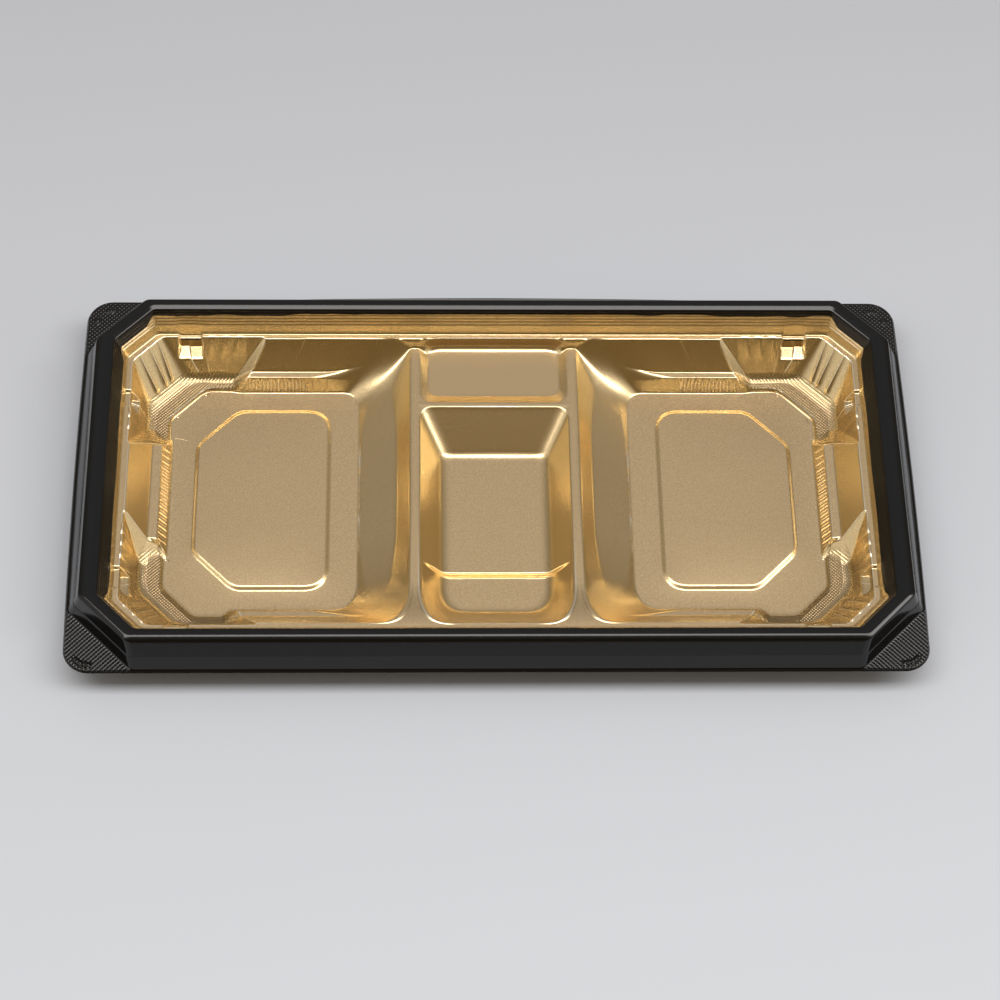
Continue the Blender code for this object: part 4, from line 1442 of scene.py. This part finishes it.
def black_material():
    """Satin black polystyrene, finely grained and knurled on its tabs."""
    material, tree, shader = new_material("black_plastic_satin")
    shader.inputs["Base Color"].default_value = (*BLACK, 1)
    shader.inputs["Specular IOR Level"].default_value = BLACK_SPECULAR
    places = add_node(tree, "TexCoord")["Object"]
    noise = grain(tree, places, BLACK_GRAIN_SCALE)
    rough = math_node(tree, "ADD", math_node(tree, "MULTIPLY", noise, BLACK_ROUGHNESS_SWAY), BLACK_ROUGHNESS)
    tree.links.new(rough, shader.inputs["Roughness"])
    fine = bumped(tree, noise, BLACK_GRAIN_DEPTH)
    normal = bumped(tree, knurl_height(tree, places, TAB_KNURL_PITCH), TAB_KNURL_DEPTH, fine)
    tree.links.new(normal, shader.inputs["Normal"])
    return material


def dress(piece, node):
    """Puts a piece in place of a solid."""
    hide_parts(node)
    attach(piece, "root")


def build_black(rings):
    """The black sheet's pieces."""
    black = black_material()
    left = lifted(outer_underside(COARSE["outer"]), -UNDER_DROP)
    pieces = {
        "rim_and_skirt": (rim_sheet(rings), BLACK_THICK),
        "grooved_band": (band_sheet(rings), BLACK_THICK),
        "flange_and_tabs": (flange_sheet(rings), BLACK_THICK),
        "middle_sheet": (underside_sheet(rings), UNDER_THICK),
        "left_sheet": (left, UNDER_THICK),
        "right_sheet": (left.mirrored(), UNDER_THICK),
    }
    for name, (sheet, thickness) in pieces.items():
        dress(sheet.made(name, thickness, black), "tray_shell")


def build_gold(rings):
    """The gold film's pieces."""
    gold = gold_material()
    upper, lower = outer_sheets()
    band = film_band(rings)
    pieces = {
        "film_band": one_grid(band),
        "film_ledge": ledge_sheet(band[-1], FINE),
        "film_left_walls": upper,
        "film_left_floor": lower,
        "film_right_walls": upper.mirrored(),
        "film_right_floor": lower.mirrored(),
        "film_small": small_sheet(FINE["middle"]),
        "film_middle": middle_sheet(FINE["middle"]),
    }
    for name, sheet in pieces.items():
        piece = lifted(sheet, FILM_RISE).made(name, FILM_THICK, gold)
        dress(piece, "gold_film")


def add_floor():
    """The pale seamless ground, a little lighter towards the front."""
    bpy.ops.mesh.primitive_plane_add(size=FLOOR_SIZE, location=(0, 0, 0))
    floor = bpy.context.object
    floor.name = "ground"
    material, tree, shader = new_material("pale_ground")
    places = add_node(tree, "TexCoord")["Object"]
    back = add_node(tree, "SeparateXYZ", {"Vector": places})["Y"]
    share = math_node(tree, "ADD", math_node(tree, "MULTIPLY", back, -FLOOR_FADE), 0.5)
    tree.links.new(mixed(tree, share, FLOOR_REAR, FLOOR_FRONT), shader.inputs["Base Color"])
    shader.inputs["Roughness"].default_value = FLOOR_ROUGHNESS
    floor.data.materials.append(material)


def add_bar():
    """A wide soft lamp overhead."""
    data = bpy.data.lights.new("overhead_bar", "AREA")
    data.shape = "RECTANGLE"
    data.size, data.size_y = BAR_SIZE
    data.color = BAR_COLOUR
    data.energy = BAR_RADIANCE * math.pi * BAR_SIZE[0] * BAR_SIZE[1]
    new_object("overhead_bar", data).location = BAR_PLACE


def glow(tree, way, axis, stops):
    """Colours of the surroundings by the cosine of the angle from an axis."""
    cosine = add_node(tree, "VectorMath", {0: way, 1: axis}, operation="DOT_PRODUCT")["Value"]
    return colour_ramp(tree, cosine, stops)


def add_world():
    """Surroundings: brightest high up behind the tray, warm and dark low down, with a glow to each side."""
    world = bpy.data.worlds.new("studio")
    bpy.context.scene.world = world
    world.use_nodes = True
    tree = world.node_tree
    way = add_node(tree, "TexCoord")["Generated"]
    split = add_node(tree, "SeparateXYZ", {"Vector": way})
    across = math_node(tree, "ABSOLUTE", split["X"])
    mirrored = add_node(tree, "CombineXYZ", {"X": across, "Y": split["Y"], "Z": split["Z"]})["Vector"]
    both = {0: glow(tree, way, SKY_AXIS, SKY), 1: glow(tree, mirrored, SIDE_AXIS, SIDES)}
    total = add_node(tree, "VectorMath", both)["Vector"]
    tree.links.new(total, tree.nodes["Background"].inputs["Color"])


def add_camera():
    """The camera at the photograph's angle."""
    data = bpy.data.cameras.new("camera")
    data.lens = CAMERA_LENS
    camera = new_object("camera", data)
    turn = Matrix.Rotation(math.radians(-CAMERA_YAW), 4, "Z")
    tilt = Matrix.Rotation(math.radians(90 - CAMERA_PITCH), 4, "X")
    roll = Matrix.Rotation(math.radians(CAMERA_ROLL), 4, "Z")
    camera.matrix_world = Matrix.Translation(Vector(CAMERA_PLACE) * MM) @ turn @ tilt @ roll
    bpy.context.scene.camera = camera


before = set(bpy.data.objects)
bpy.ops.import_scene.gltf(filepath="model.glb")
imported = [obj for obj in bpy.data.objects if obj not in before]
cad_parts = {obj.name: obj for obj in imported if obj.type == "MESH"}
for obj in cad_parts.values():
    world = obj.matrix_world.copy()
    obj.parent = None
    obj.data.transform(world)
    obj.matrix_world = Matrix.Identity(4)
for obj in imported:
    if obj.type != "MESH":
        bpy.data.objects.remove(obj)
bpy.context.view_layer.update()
tray_rings = outside_rings()
build_black(tray_rings)
build_gold(tray_rings)
add_floor()
add_bar()
add_world()
add_camera()
bpy.context.scene.view_settings.view_transform = "Standard"
